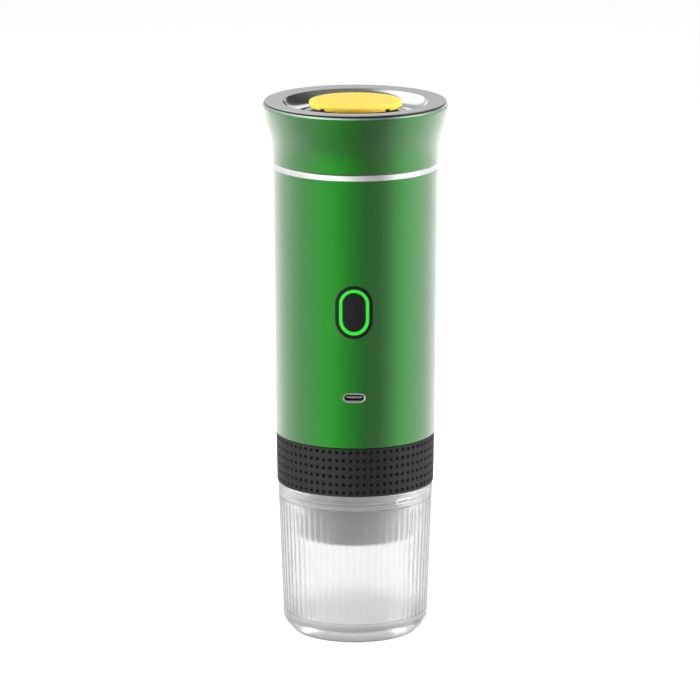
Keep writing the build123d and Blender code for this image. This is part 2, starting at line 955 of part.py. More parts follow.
def heater_leads():
    """Two wires from the board up through the plate to the heater."""
    wires = []
    z = plate_low - lead_drop
    y = -board_back + lead_reach
    for x in lead_points(heater_lead_spacing):
        wires.append(lead((x, -board_back, z), (x, y, z), (x, y, plate_high)))
    return Compound(children=wires)


def motor_leads():
    """Two wires from the board to the motor's end cap."""
    wires = []
    z = board_high - lead_radius - slip_gap
    for x in lead_points(motor_lead_spacing):
        reach = math.sqrt(pump_radius ** 2 - (abs(x) - lead_radius) ** 2)
        wires.append(lead((x, -board_back, z), (x, -reach, z)))
    return Compound(children=wires)


# Power button

def button_bezel():
    """Black frame around the light ring, with a shelf behind it and a flange inside the tube."""
    front = lid_radius
    back = tube_radius(button_z) - bezel_depth
    flange_front = tube_foot_inner - bezel_flange
    shelf = back + bezel_shelf
    bezel = oblong(bezel_width, bezel_length, button_z, back, front)
    grow = 2 * bezel_flange
    bezel = bezel + oblong(bezel_width + grow, bezel_length + grow, button_z, back, flange_front)
    narrow = 2 * bezel_wall
    bezel = bezel - oblong(bezel_width - narrow, bezel_length - narrow, button_z, shelf, front + 1)
    through = narrow + 2 * led_ring_width
    bezel = bezel - oblong(bezel_width - through, bezel_length - through, button_z, back - 1, front + 1)
    return bezel & tube_envelope(bezel_stand)


def led_ring():
    """Clear light ring between the bezel and the button."""
    back = tube_radius(button_z) - bezel_depth + bezel_shelf
    narrow = 2 * bezel_wall + 2 * running_gap
    through = 2 * bezel_wall + 2 * led_ring_width
    light = oblong(bezel_width - narrow, bezel_length - narrow, button_z, back, lid_radius)
    light = light - oblong(bezel_width - through, bezel_length - through, button_z, back - 1, lid_radius + 1)
    return light & tube_envelope(led_ring_stand)


def power_button():
    """Button inside the light ring, with a post that works the switch."""
    back = tube_radius(button_z) - button_thickness
    inset = 2 * bezel_wall + 2 * led_ring_width + 4 * slip_gap
    cap = oblong(bezel_width - inset, bezel_length - inset, button_z, back, lid_radius)
    cap = cap & tube_envelope(button_stand)
    return cap + along_y(0, button_z, button_post_radius, plunger_front(), back + 1)


def plunger_front():
    """Distance before the axis of the switch plunger's tip."""
    return board_front + switch_height + plunger_stand


def switch_body():
    """Push switch on the board."""
    half = switch_size / 2
    face = board_front + switch_height
    body = block(-half, half, -face, -board_front, button_z - half, button_z + half)
    floor = face - plunger_depth - switch_travel - slip_gap
    return body - along_y(0, button_z, plunger_radius + slip_gap, floor, face + 1)


def switch_plunger():
    """Plunger of the push switch, which the button's post rests on."""
    return along_y(0, button_z, plunger_radius, board_front + switch_height - plunger_depth, plunger_front())


# Charging port

def port_shell():
    """Steel shell of the charging socket, standing on the board."""
    front = tube_radius(port_z) - port_setback
    shell = oblong(port_width, port_tall, port_z, board_front, front)
    inner = 2 * port_shell_wall
    return shell - oblong(port_width - inner, port_tall - inner, port_z, board_front - 1, front + 1)


def port_tongue():
    """Contact tongue of the charging socket on its base."""
    inner = 2 * port_shell_wall + 2 * running_gap
    base = oblong(port_width - inner, port_tall - inner, port_z, board_front, board_front + port_base_depth)
    front = tube_radius(port_z) - port_setback - port_tongue_setback
    half = port_tongue_width / 2
    thin = port_tongue_thickness / 2
    return base + block(-half, half, -front, -board_front - 1, port_z - thin, port_z + thin)


# Pump and motor

def motor_can():
    """Steel can of the motor, open at the top."""
    can = disc(pump_radius, pump_high, motor_high)
    can = can - disc(pump_radius - motor_wall, motor_low, motor_high)
    return can - disc(bush_radius, pump_high, motor_low)


def motor_cap_plate():
    """End cap that closes the motor and takes its screws."""
    cap = ring(bush_radius, pump_radius, motor_high, plate_low)
    for x, y in motor_screw_points():
        cap = cap - upright(x, y, motor_screw_radius, motor_high, plate_low)
    return cap


def motor_bushes():
    """Bronze bushes in the can's floor and in the end cap."""
    bore = shaft_radius + running_gap
    outer = bush_radius - running_gap
    lower = ring(bore, outer, pump_high, motor_low)
    upper = ring(bore, outer, motor_high, plate_low - slip_gap)
    return Compound(children=[lower, upper])


def motor_magnets():
    """Two curved magnets on the can's inner wall."""
    outer = pump_radius - motor_wall - running_gap
    shell = ring(outer - motor_magnet, outer, armature_low, armature_high)
    gap = block(-pump_radius, pump_radius, -magnet_gap / 2, magnet_gap / 2, pump_high, plate_low)
    return Compound(children=(shell - gap).solids())


def motor_shaft():
    """Motor shaft with its wound armature."""
    core = pump_radius - motor_wall - running_gap - motor_magnet - motor_air_gap
    shaft = disc(shaft_radius, swash_middle - swash_thickness, plate_low - 4 * slip_gap)
    return shaft + disc(core, armature_low, armature_high)


def swash_disc():
    """Tilted disc on the shaft's end that works the pistons in turn."""
    plate = Pos(0, 0, swash_middle) * Rot(swash_degrees, 0, 0) * Cylinder(swash_radius, swash_thickness)
    hub = disc(swash_hub_radius, swash_middle, swash_hub_top)
    return plate + hub - disc(shaft_radius + running_gap, swash_middle - 2 * swash_thickness, plate_low)


def pump_pistons():
    """Pistons standing in the valve plate's bores."""
    low = pump_low + pump_floor
    start = hose_azimuth_degrees - 180.0 / piston_count
    placed = []
    for x, y in around(piston_circle, piston_count, start):
        placed.append(upright(x, y, piston_radius, low, low + piston_length))
    return Compound(children=placed)


def valve_plate():
    """Plate with the pistons' bores and the water ways, at the bottom of the pump's chamber."""
    low = pump_low + pump_floor
    plate = disc(pump_radius - pump_wall - slip_gap, low, low + valve_plate_thickness)
    start = hose_azimuth_degrees - 180.0 / piston_count
    for x, y in around(piston_circle, piston_count, start):
        plate = plate - upright(x, y, piston_radius + slip_gap, low - 1, low + valve_plate_thickness + 1)
    plate = plate - disc(nipple_bore, low - 1, low + valve_plate_thickness + 1)
    x = piston_circle * math.cos(hose_angle)
    y = piston_circle * math.sin(hose_angle)
    return plate - upright(x, y, nipple_bore, low - 1, low + valve_plate_thickness + 1)


def pump_body():
    """Pump housing with an inlet nipple at the side and an outlet nipple below."""
    floor = pump_low + pump_floor
    body = disc(pump_radius, pump_low, pump_high)
    body = body - disc(pump_radius - pump_wall, floor, pump_high + 1)
    body = body + disc(nipple_radius, pump_low - nipple_length, pump_low + 1)
    inlet_z = pump_low + pump_floor / 2
    outwards = Vector(math.cos(hose_angle), math.sin(hose_angle), 0)
    near = Vector(0, 0, inlet_z) + outwards * (pump_radius - pump_wall)
    nipple = Plane(origin=near, z_dir=outwards) * Circle(nipple_radius)
    body = body + extrude(nipple, amount=pump_wall + inlet_nipple_length)
    well = Vector(0, 0, inlet_z) + outwards * piston_circle
    bore = Plane(origin=well, z_dir=outwards) * Circle(nipple_bore)
    body = body - extrude(bore, amount=hose_circle)
    body = body - upright(well.X, well.Y, nipple_bore, inlet_z, floor + 1)
    return body - disc(nipple_bore, pump_low - nipple_length - 1, floor + 1)


def hose(path, start, heading):
    """A soft hose of the common bore along a path."""
    section = Circle(hose_radius) - Circle(nipple_radius + running_gap)
    return sweep(Plane(origin=start, z_dir=heading) * section, path=path)


def inlet_hose():
    """Hose from the tank's outlet down to the pump's inlet, with one bend."""
    top = Vector(hose_x, hose_y, plate_low - seam_gap)
    corner = Vector(hose_x, hose_y, pump_low + pump_floor / 2)
    inwards = Vector(-math.cos(hose_angle), -math.sin(hose_angle), 0)
    end = corner + inwards * (hose_circle - pump_radius - seam_gap)
    path = FilletPolyline(top, corner, end, radius=hose_bend)
    return hose(path, top, Vector(0, 0, -1))


def outlet_hose():
    """Short straight hose from the pump's outlet to the brew head's inlet."""
    return ring(nipple_radius + running_gap, hose_radius, brew_top + slip_gap, pump_low - slip_gap)


# Lid

def flare_outline(shift):
    """Corner chain of the lid's flared side, from its lower edge to its widest point, moved in by a shift."""
    foot = (tube_head_radius - shift, 0, lid_low)
    knee = (tube_head_radius - shift, 0, lid_low + lid_straight)
    slope = math.tan(math.radians(lid_cone_degrees))
    wide_z = rim_low - lid_edge_drop
    corner_z = wide_z - lid_flare / slope
    run = corner_z - knee[2]
    lean = math.radians(lid_cone_degrees)
    arc_end = (knee[0] + run * math.sin(lean), 0, corner_z + run * math.cos(lean))
    wide = (lid_radius - shift, 0, wide_z)
    edge = (rim_radius - shift, 0, rim_low)
    return [
        Line(foot, knee),
        TangentArc(knee, arc_end, tangent=(0, 0, 1)),
        Line(arc_end, wide),
        TangentArc(wide, edge, tangent=(math.sin(lean), 0, math.cos(lean))),
    ]


def lid_collar():
    """Flared metal collar of the lid."""
    outer = flare_outline(0)
    inner = flare_outline(lid_wall)
    foot = Line(inner[0] @ 0, outer[0] @ 0)
    top = Line(outer[-1] @ 1, inner[-1] @ 1)
    return revolve(make_face(outer + inner + [foot, top]), Axis.Z)


def lid_rim():
    """Bright flat ring on the lid with a polished bowl sunk inside it."""
    bowl_end = bowl_hole + bowl_foot_width
    lip_outer = rim_radius - lid_wall - slip_gap
    lip_inner = lip_outer - rim_lip_width
    lip_low = rim_low - rim_lip_depth
    under = bowl_foot - rim_thickness
    bowl_in = bowl_radius + rim_thickness
    edge_high = lid_top - rim_dish
    edge_low = rim_low - rim_dish
    outline = [
        Line((rim_radius, 0, lid_top), (bowl_radius, 0, edge_high)),
        TangentArc((bowl_end, 0, bowl_foot), (bowl_radius, 0, edge_high), tangent=(1, 0, 0)),
        Line((bowl_end, 0, bowl_foot), (bowl_hole, 0, bowl_foot)),
        Line((bowl_hole, 0, bowl_foot), (bowl_hole, 0, under)),
        Line((bowl_hole, 0, under), (bowl_end, 0, under)),
        TangentArc((bowl_end, 0, under), (bowl_in, 0, edge_low), tangent=(1, 0, 0)),
        Line((bowl_in, 0, edge_low), (lip_inner, 0, rim_low)),
        Line((lip_inner, 0, rim_low), (lip_inner, 0, lip_low)),
        Line((lip_inner, 0, lip_low), (lip_outer, 0, lip_low)),
        Line((lip_outer, 0, lip_low), (lip_outer, 0, rim_low)),
        Line((lip_outer, 0, rim_low), (rim_radius, 0, rim_low)),
        Line((rim_radius, 0, rim_low), (rim_radius, 0, lid_top)),
    ]
    return revolve(make_face(outline), Axis.Z)


def lid_liner():
    """Moulded liner of the lid: threaded skirt, deck with vent holes, guide for the vent and a rib."""
    low = lid_low + liner_lift
    guide_bore = vent_shaft_radius + slip_gap
    guide = guide_bore + vent_guide_wall
    guide_top = vent_head_low() - vent_travel - seam_gap
    rib_in = bowl_hole
    rib_out = bowl_hole + liner_rib_width
    rib_top = bowl_foot - rim_thickness
    liner = turned(
        (guide_bore, deck_low),
        (liner_bore, deck_low),
        (liner_bore, low),
        (liner_radius, low),
        (liner_radius, deck_high),
        (rib_out, deck_high),
        (rib_out, rib_top),
        (rib_in, rib_top),
        (rib_in, deck_high),
        (guide, deck_high),
        (guide, guide_top),
        (guide_bore, guide_top),
    )
    beads = thread_beads(
        liner_bore - bead_stand,
        trim_high + lid_thread_foot - bead_spacing,
        lid_thread_lead,
        lid_thread_turns,
        lid_thread_starts,
    )
    for bead in beads:
        liner = liner + bead
    for x, y in around(vent_hole_circle, vent_hole_count):
        liner = liner - upright(x, y, vent_hole_radius, deck_low - 1, deck_high + 1)
    return liner


def lid_seal():
    """Flat seal in the lid, on the tank's neck."""
    low = neck_top + slip_gap
    outer = liner_bore - thread_gap
    return ring(tank_bore - lid_seal_width / 2, outer, low, low + lid_seal_thickness)


def vent_head_low():
    """Height of the underside of the vent stem's head."""
    return lid_top - vent_cap_thickness - vent_head_thickness


def vent_cap():
    """Soft round cap of the vent button, notched round its edge."""
    low = lid_top - vent_cap_thickness
    cap = disc(vent_cap_radius, low, lid_top)
    top_edge = cap.edges().filter_by(GeomType.CIRCLE).group_by(Axis.Z)[-1]
    cap = fillet(top_edge, vent_cap_thickness / 4)
    for x, y in around(vent_cap_radius, vent_notch_count, 45.0):
        notch = Pos(x, y, low) * Rot(0, 0, math.degrees(math.atan2(y, x)))
        cap = cap - notch * Box(vent_head_inset, vent_notch_width, 2 * vent_notch_height)
    return cap


def vent_stem():
    """Stem of the vent button: a skirted head above and a shaft through the lid's guide."""
    low = vent_head_low()
    top = lid_top - vent_cap_thickness
    foot = deck_low - slip_gap - vent_valve_thickness
    stem = turned(
        (0, foot),
        (vent_shaft_radius, foot),
        (vent_shaft_radius, low),
        (vent_head_radius - vent_head_skirt, low),
        (vent_head_radius - vent_head_skirt, low - vent_head_skirt),
        (vent_head_radius, low - vent_head_skirt),
        (vent_head_radius, top),
        (0, top),
    )
    return stem - disc(vent_screw_radius, foot, foot + vent_screw_length + 4 * slip_gap)


def vent_valve():
    """Soft valve disc under the lid's vent holes."""
    high = deck_low - slip_gap
    return ring(vent_shaft_radius + running_gap, vent_valve_radius, high - vent_valve_thickness, high)


def vent_screw():
    """Wide-headed screw that holds the valve disc on the stem."""
    low = deck_low - slip_gap - vent_valve_thickness - vent_screw_head_height
    body = screw(
        vent_screw_head_radius, vent_screw_head_height, vent_screw_radius - running_gap, vent_screw_length
    )
    return Pos(0, 0, low) * body


def vent_spring():
    """Coil spring that lifts the vent button."""
    low = deck_high + spring_wire / 2 + running_gap
    high = vent_head_low() - spring_wire / 2 - running_gap
    return coil(spring_radius, low, (high - low) / spring_turns, spring_turns, spring_wire / 2)


pieces = {
    "drink_cup": drink_cup(),
    "cup_seal_ring": cup_seal_ring(),
    "chamber_body": chamber_body(),
    "grip_ring": grip_ring(),
    "coffee_basket": coffee_basket(),
    "outlet_spout": outlet_spout(),
    "chamber_seal": chamber_seal(),
    "brew_head": brew_head(),
    "shower_screen": shower_screen(),
    "shower_screw": shower_screw(),
    "body_tube": body_tube(),
    "trim_ring": trim_ring(),
    "water_tank": water_tank(),
    "tank_seal": tank_seal(),
    "tank_nipple": tank_nipple(),
    "heater_plate": heater_plate(),
    "temperature_sensor": temperature_sensor(),
    "inner_frame": inner_frame(),
    "cell_tray": cell_tray(),
    "cell_straps": cell_straps(),
    "main_board": main_board(),
    "board_chips": board_chips(),
    "status_leds": status_leds(),
    "frame_screws": frame_screws(),
    "motor_screws": motor_screws(),
    "heater_leads": heater_leads(),
    "motor_leads": motor_leads(),
    "button_bezel": button_bezel(),
    "led_ring": led_ring(),
    "power_button": power_button(),
    "switch_body": switch_body(),
    "switch_plunger": switch_plunger(),
    "port_shell": port_shell(),
    "port_tongue": port_tongue(),
    "motor_can": motor_can(),
    "motor_cap": motor_cap_plate(),
    "motor_bushes": motor_bushes(),
    "motor_magnets": motor_magnets(),
    "motor_shaft": motor_shaft(),
    "swash_disc": swash_disc(),
    "pump_pistons": pump_pistons(),
    "valve_plate": valve_plate(),
    "pump_body": pump_body(),
    "inlet_hose": inlet_hose(),
    "outlet_hose": outlet_hose(),
    "lid_collar": lid_collar(),
    "lid_rim": lid_rim(),
    "lid_liner": lid_liner(),
    "lid_seal": lid_seal(),
    "vent_cap": vent_cap(),
    "vent_stem": vent_stem(),
    "vent_valve": vent_valve(),
    "vent_screw": vent_screw(),
    "vent_spring": vent_spring(),
}
for index in range(cell_count):
    pieces[f"battery_cell_{index + 1}"] = battery_cell(index)

os.makedirs("parts", exist_ok=True)
for name, shape in pieces.items():
    export_step(shape, f"parts/{name}.step")
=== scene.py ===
import math

import bpy
import numpy as np
from bpy.props import FloatProperty, FloatVectorProperty, IntProperty, PointerProperty
from bpy.types import Operator, Panel, PropertyGroup
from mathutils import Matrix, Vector


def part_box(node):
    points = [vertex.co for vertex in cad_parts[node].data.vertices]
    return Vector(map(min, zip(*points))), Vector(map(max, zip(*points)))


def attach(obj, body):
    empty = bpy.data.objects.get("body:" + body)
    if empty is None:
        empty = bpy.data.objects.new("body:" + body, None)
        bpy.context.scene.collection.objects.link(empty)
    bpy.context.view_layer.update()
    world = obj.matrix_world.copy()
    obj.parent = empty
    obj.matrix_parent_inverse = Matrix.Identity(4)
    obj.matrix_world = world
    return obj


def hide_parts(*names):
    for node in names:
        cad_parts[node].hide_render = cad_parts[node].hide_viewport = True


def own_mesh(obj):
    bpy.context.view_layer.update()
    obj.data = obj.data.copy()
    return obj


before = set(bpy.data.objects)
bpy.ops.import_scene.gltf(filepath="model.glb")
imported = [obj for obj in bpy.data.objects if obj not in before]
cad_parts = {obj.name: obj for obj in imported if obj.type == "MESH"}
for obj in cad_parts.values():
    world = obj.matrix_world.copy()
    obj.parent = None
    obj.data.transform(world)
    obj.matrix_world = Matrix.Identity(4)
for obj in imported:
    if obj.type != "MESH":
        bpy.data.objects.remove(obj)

bl_info = {
    "name": "Portable Espresso Maker",
    "version": (1, 0, 0),
    "blender": (4, 5, 0),
    "location": "View3D > Sidebar > Espresso",
    "description": "Dresses the packed espresso maker: lid, tube, button, grip, cup and their finishes",
    "category": "Object",
}

MM = 0.001


# Sizes from the frame

def level(node, end):
    """Lowest (0) or highest (1) level of a node, in metres."""
    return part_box(node)[end].z


def reach(node):
    """Greatest distance of a node from the upright axis, in metres."""
    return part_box(node)[1].x


def middle(node):
    """Level halfway up a node, in metres."""
    return (level(node, 0) + level(node, 1)) / 2


def size(name, description, default):
    """A length that a user may change, in metres."""
    return FloatProperty(name=name, description=description, default=default, unit="LENGTH", precision=5)


def tint(name, description, red, green, blue):
    """A colour that a user may change."""
    return FloatVectorProperty(
        name=name, description=description, default=(red, green, blue), subtype="COLOR", min=0.0, max=1.0
    )


class LidSizes(PropertyGroup):
    """Sizes of the flared lid, its bright rim and its bowl."""
    low: size("Lower edge", "Level of the collar's lower edge", level("lid_collar", 0))
    top: size("Top", "Level of the flat rim", level("lid_rim", 1))
    foot_radius: size("Foot radius", "Radius of the collar where it meets the trim ring", reach("trim_ring"))
    wide_radius: size("Widest radius", "Radius of the collar's rolled lip", reach("lid_collar"))
    rim_radius: size("Rim radius", "Outer radius of the flat rim", reach("lid_rim"))
    wall: size("Wall", "Thickness of the collar", 1.6 * MM)
    rim_wall: size("Rim wall", "Thickness of the rim's sheet", 0.8 * MM)
    rim_flat: size("Rim width", "Width of the flat rim", 7.6 * MM)
    rim_dish: size("Rim dish", "Fall of the flat rim towards the bowl", 0.4 * MM)
    bowl_depth: size("Bowl depth", "Depth of the bowl under the rim", 5.8 * MM)
    bowl_hole: size("Bowl hole", "Radius of the hole round the vent cap", 20.55 * MM)


class VentSizes(PropertyGroup):
    """Sizes of the soft vent cap."""
    low: size("Underside", "Level of the cap's underside", level("vent_cap", 0))
    top: size("Top", "Level of the cap's top", level("vent_cap", 1))
    radius: size("Radius", "Radius of the cap", reach("vent_cap"))
    edge: size("Edge", "Rounding of the top edge", 0.5 * MM)
    notches: IntProperty(name="Notches", description="Number of notches round the edge", default=4, min=1)
    notch_width: size("Notch width", "Width of a notch", 2.4 * MM)
    notch_height: size("Notch height", "Height of a notch above the underside", 0.9 * MM)
    notch_depth: size("Notch depth", "Depth of a notch into the edge", 0.8 * MM)
    press: size("Press", "Way that the cap goes down when it is pressed", 2.5 * MM)
    spring_turns: FloatProperty(name="Spring turns", description="Turns of the spring", default=3.0, min=0.5)
    spring_wire: size("Spring wire", "Thickness of the spring's wire", 0.8 * MM)


class TubeSizes(PropertyGroup):
    """Sizes of the tapered tube and its trim ring."""
    low: size("Lower edge", "Level of the tube's lower edge", level("body_tube", 0))
    high: size("Upper edge", "Level of the tube's upper edge", level("body_tube", 1))
    trim_high: size("Trim top", "Level of the trim ring's top", level("trim_ring", 1))
    trim_low: size("Skirt end", "Level of the trim ring's skirt end", level("trim_ring", 0))
    foot_radius: size("Foot radius", "Radius at the lower edge", 34.15 * MM)
    head_radius: size("Head radius", "Radius at the upper edge", reach("body_tube"))
    wall: size("Wall", "Thickness of the tube", 1.5 * MM)
    trim_bore: size("Trim bore", "Inner radius of the trim ring", 30.3 * MM)
    trim_skirt: size("Skirt wall", "Thickness of the trim ring's skirt", 1.3 * MM)


class ButtonSizes(PropertyGroup):
    """Sizes of the power button, its light ring and its frame, and of the charging slot."""
    centre: size("Centre", "Level of the button's centre", middle("led_ring"))
    width: size("Width", "Width of the black frame", 15.8 * MM)
    length: size("Length", "Length of the black frame", 22.9 * MM)
    frame_wall: size("Frame wall", "Width of the black frame's edge", 1.5 * MM)
    light_width: size("Light width", "Width of the light ring", 1.4 * MM)
    port_centre: size("Port centre", "Level of the charging slot", middle("port_shell"))
    port_width: size("Port width", "Width of the charging slot", 9.64 * MM)
    port_tall: size("Port height", "Height of the charging slot", 3.96 * MM)


class GripSizes(PropertyGroup):
    """Sizes of the dimpled grip."""
    low: size("Lower edge", "Level of the grip's lower edge", level("grip_ring", 0))
    high: size("Upper edge", "Level of the grip's upper edge", level("grip_ring", 1))
    foot_radius: size("Foot radius", "Radius at the lower edge", reach("grip_ring") - 0.35 * MM)
    head_radius: size("Head radius", "Radius at the upper edge", reach("grip_ring"))
    bore: size("Bore", "Inner radius", 31.85 * MM)
    columns: IntProperty(name="Columns", description="Dimples round the grip", default=72, min=3)
    rows: IntProperty(name="Rows", description="Rows of dimples", default=6, min=1)
    dimple_radius: size("Dimple radius", "Radius of a dimple", 0.78 * MM)
    dimple_depth: size("Dimple depth", "Depth of a dimple", 0.9 * MM)


class CupSizes(PropertyGroup):
    """Sizes of the clear fluted cup."""
    height: size("Height", "Height of the cup", level("drink_cup", 1))
    rim_radius: size("Rim radius", "Outer radius at the rim", 33.35 * MM)
    waist_radius: size("Waist radius", "Outer radius above the corner", 31.4 * MM)
    foot_radius: size("Foot radius", "Outer radius of the foot ring", 27.0 * MM)
    corner: size("Corner height", "Level where the wall starts to turn in", 9.0 * MM)
    seat_radius: size("Seat radius", "Inner radius of the smooth rim band", 31.05 * MM)
    seat_low: size("Seat", "Level where the flutes end", level("chamber_body", 0))
    wall: size("Wall", "Thickness of the wall at a flute's bottom", 2.5 * MM)
    floor_low: size("Floor underside", "Level of the floor's underside", 5.0 * MM)
    floor_high: size("Floor", "Level of the inner floor", 8.2 * MM)
    foot_wall: size("Foot wall", "Width of the foot ring", 2.6 * MM)
    flutes: IntProperty(name="Flutes", description="Number of flutes inside", default=64, min=3)
    flute_depth: size("Flute depth", "Depth of a flute", 0.22 * MM)
    mark_length: size("Mark length", "Length of the raised mark under the rim", 7.4 * MM)
    mark_height: size("Mark height", "Height of the raised mark", 2.2 * MM)
    mark_stand: size("Mark stand", "Stand of the raised mark above the wall", 0.3 * MM)
    mark_drop: size("Mark drop", "Level of the raised mark below the rim", 3.3 * MM)
    mark_turn: FloatProperty(
        name="Mark turn", description="Place of the raised mark round the cup", default=math.radians(-51.3),
        subtype="ANGLE",
    )


class Finishes(PropertyGroup):
    """Colours of the outer pieces."""
    green: tint("Green", "Green metal of the tube and the lid", 0.006, 0.25, 0.008)
    yellow: tint("Yellow", "Yellow silicone of the vent cap", 0.80, 0.505, 0.065)
    black: tint("Black", "Black rubber of the grip", 0.009, 0.009, 0.0095)
    light: tint("Light", "Glowing ring round the button", 0.025, 0.83, 0.03)
    grey: tint("Grey", "Grey plastic of the outlet", 0.29, 0.29, 0.29)
    pale: tint("Pale grey", "Pale grey plastic of the chamber", 0.44, 0.44, 0.44)
    clear: tint("Clear", "Clear plastic of the cup", 0.99, 0.995, 0.995)


class StageSettings(PropertyGroup):
    """Camera and studio."""
    camera: FloatVectorProperty(
        name="Camera", description="Place of the camera", default=(0.0326, -1.99974, 0.58465),
        subtype="TRANSLATION",
    )
    pitch: FloatProperty(
        name="Pitch", description="Downward tilt of the camera", default=math.radians(13.0), subtype="ANGLE"
    )
    turn: FloatProperty(
        name="Turn", description="Turn of the camera round the upright axis", default=math.radians(1.0),
        subtype="ANGLE",
    )
    lens: FloatProperty(name="Lens", description="Focal length in millimetres", default=245.4, unit="CAMERA")
    floor: size("Floor", "Half the width of the floor", 3.0)


# Surfaces

WELD = 0.0005 * MM  # Points closer than this are one point
TINY = 1e-12  # Least length that a vector is divided by
COLUMNS = 256  # Columns round a large turned piece


def rounded(corners, closed=True, step=6.0):
    """Outline through corners (across, up, rounding), counter-clockwise: every corner becomes an arc tangent
    to its two sides, centred on their bisector at rounding / sin(half angle), with a point every few degrees.
    Gives points and outward normals."""
    spots = np.array(corners, float)
    count = len(spots)
    points, normals = [], []
    for index in range(count):
        here = spots[index, :2]
        if not closed and index in (0, count - 1):
            along = spots[1, :2] - here if index == 0 else here - spots[-2, :2]
            along = along / np.linalg.norm(along)
            points.append(here[None])
            normals.append(np.array([[along[1], -along[0]]]))
            continue
        arrive = here - spots[index - 1, :2]
        leave = spots[(index + 1) % count, :2] - here
        arrive = arrive / np.linalg.norm(arrive)
        leave = leave / np.linalg.norm(leave)
        cross = arrive[0] * leave[1] - arrive[1] * leave[0]
        side = 1.0 if cross > 0 else -1.0
        sweep = math.acos(float(np.clip(arrive @ leave, -1, 1)))
        bisector = (leave - arrive) / np.linalg.norm(leave - arrive)
        centre = here + bisector * spots[index, 2] / math.cos(sweep / 2)
        start = math.atan2(-arrive[0], arrive[1])
        steps = max(3, math.ceil(math.degrees(sweep) / step))
        turns = start + side * sweep * np.linspace(0, 1, steps + 1)
        way = np.stack([np.cos(turns), np.sin(turns)], 1)
        points.append(centre + side * spots[index, 2] * way)
        normals.append(way)
    return np.concatenate(points), np.concatenate(normals)


def turned(outline, columns):
    """Surface of revolution: an outline (across, up) carried round the upright axis, as grids of points and
    normals with one row for each point of the outline."""
    points, normals = outline
    angle = np.linspace(0, 2 * math.pi, columns, endpoint=False)
    around = np.stack([np.cos(angle), np.sin(angle)], 1)
    grid = np.empty((len(points), columns, 3))
    way = np.empty_like(grid)
    for target, source in ((grid, points), (way, normals)):
        target[..., :2] = source[:, :1, None] * around
        target[..., 2] = source[:, 1:]
    return grid, way


def placed(radius, angle, up):
    """Grid of points at radii, angles and levels about the upright axis, with one level for each row."""
    heights = np.broadcast_to(up[:, None], radius.shape)
    return np.stack([radius * np.cos(angle), radius * np.sin(angle), heights], 2)


def slopes(grid, rows_closed, columns_closed):
    """Normals of a grid from the cross product of its central differences along columns and rows."""
    def differences(axis, closed):
        if closed:
            return np.roll(grid, -1, axis) - np.roll(grid, 1, axis)
        return np.gradient(grid, axis=axis)
    way = np.cross(differences(1, columns_closed), differences(0, rows_closed))
    return way / np.maximum(np.linalg.norm(way, axis=2, keepdims=True), TINY)


def pole_slopes(grid):
    """Normals of a grid that runs from a pole facing down to a pole facing up."""
    way = slopes(grid, False, True)
    way[0] = (0, 0, -1)
    way[-1] = (0, 0, 1)
    return way


def eased(value, start, end):
    """Share s of the way from start to end, smoothed as 3 s^2 - 2 s^3."""
    share = np.clip((value - start) / (end - start), 0, 1)
    return share * share * (3 - 2 * share)


def quads(rows, columns, rows_closed, columns_closed):
    """Corner indices of a grid's quads, each running along its columns first."""
    row = np.arange(rows if rows_closed else rows - 1)[:, None]
    column = np.arange(columns if columns_closed else columns - 1)[None]
    here = row * columns
    above = (row + 1) % rows * columns
    beside = (column + 1) % columns
    return np.stack([here + column, here + beside, above + beside, above + column], -1).reshape(-1, 4)


def build(name, sheets, finishes):
    """A mesh object from sheets (points, normals, rows closed, columns closed, finish of all, of each row or
    of each point). Points that coincide are welded, quads that fold at a pole or seam become triangles, and
    the normals are kept."""
    points, normals, faces, looks = [], [], [], []
    base = 0
    for grid, way, rows_closed, columns_closed, look in sheets:
        rows, columns = grid.shape[:2]
        corners = quads(rows, columns, rows_closed, columns_closed)
        faces.append(corners + base)
        look = np.asarray(look)
        look = look[:, None] if look.ndim == 1 else look
        looks.append(np.broadcast_to(look, (rows, columns)).ravel()[corners[:, 0]])
        points.append(grid.reshape(-1, 3))
        normals.append(way.reshape(-1, 3))
        base += rows * columns
    points, normals, faces, looks = map(np.concatenate, (points, normals, faces, looks))
    spots = np.round(points / WELD)
    _, first, welded = np.unique(spots, axis=0, return_index=True, return_inverse=True)
    welded = welded.ravel()
    summed = np.zeros((len(first), 3))
    np.add.at(summed, welded, normals)
    summed /= np.maximum(np.linalg.norm(summed, axis=1, keepdims=True), TINY)
    faces = welded[faces]
    same = faces == np.roll(faces, -1, axis=1)
    plain = ~same.any(1)
    folded = same.sum(1) == 1
    whole = faces[plain]
    thirds = faces[folded][~same[folded]].reshape(-1, 3)
    looks = np.concatenate([looks[plain], looks[folded]])
    loops = np.concatenate([whole.ravel(), thirds.ravel()])
    starts = np.concatenate([np.arange(len(whole)) * 4, whole.size + np.arange(len(thirds)) * 3])
    mesh = bpy.data.meshes.new(name)
    mesh.vertices.add(len(first))
    mesh.vertices.foreach_set("co", points[first].ravel())
    mesh.loops.add(len(loops))
    mesh.loops.foreach_set("vertex_index", loops.astype(np.int32))
    mesh.polygons.add(len(starts))
    mesh.polygons.foreach_set("loop_start", starts.astype(np.int32))
    mesh.polygons.foreach_set("use_smooth", np.ones(len(starts), bool))
    for made in finishes:
        mesh.materials.append(made)
    mesh.polygons.foreach_set("material_index", looks.astype(np.int32))
    mesh.update(calc_edges=True)
    if mesh.validate():
        raise RuntimeError(f"{name}: its surface has faces that meet wrongly")
    mesh.normals_split_custom_set_from_vertices(summed)
    piece = bpy.data.objects.new(name, mesh)
    bpy.context.scene.collection.objects.link(piece)
    return piece


def settle(piece, body, slot, *nodes):
    """Lets a piece ride on its body in place of its nodes; its slot argument, the record's finish, is not
    used.
    """
    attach(piece, body)
    if nodes:
        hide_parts(*nodes)


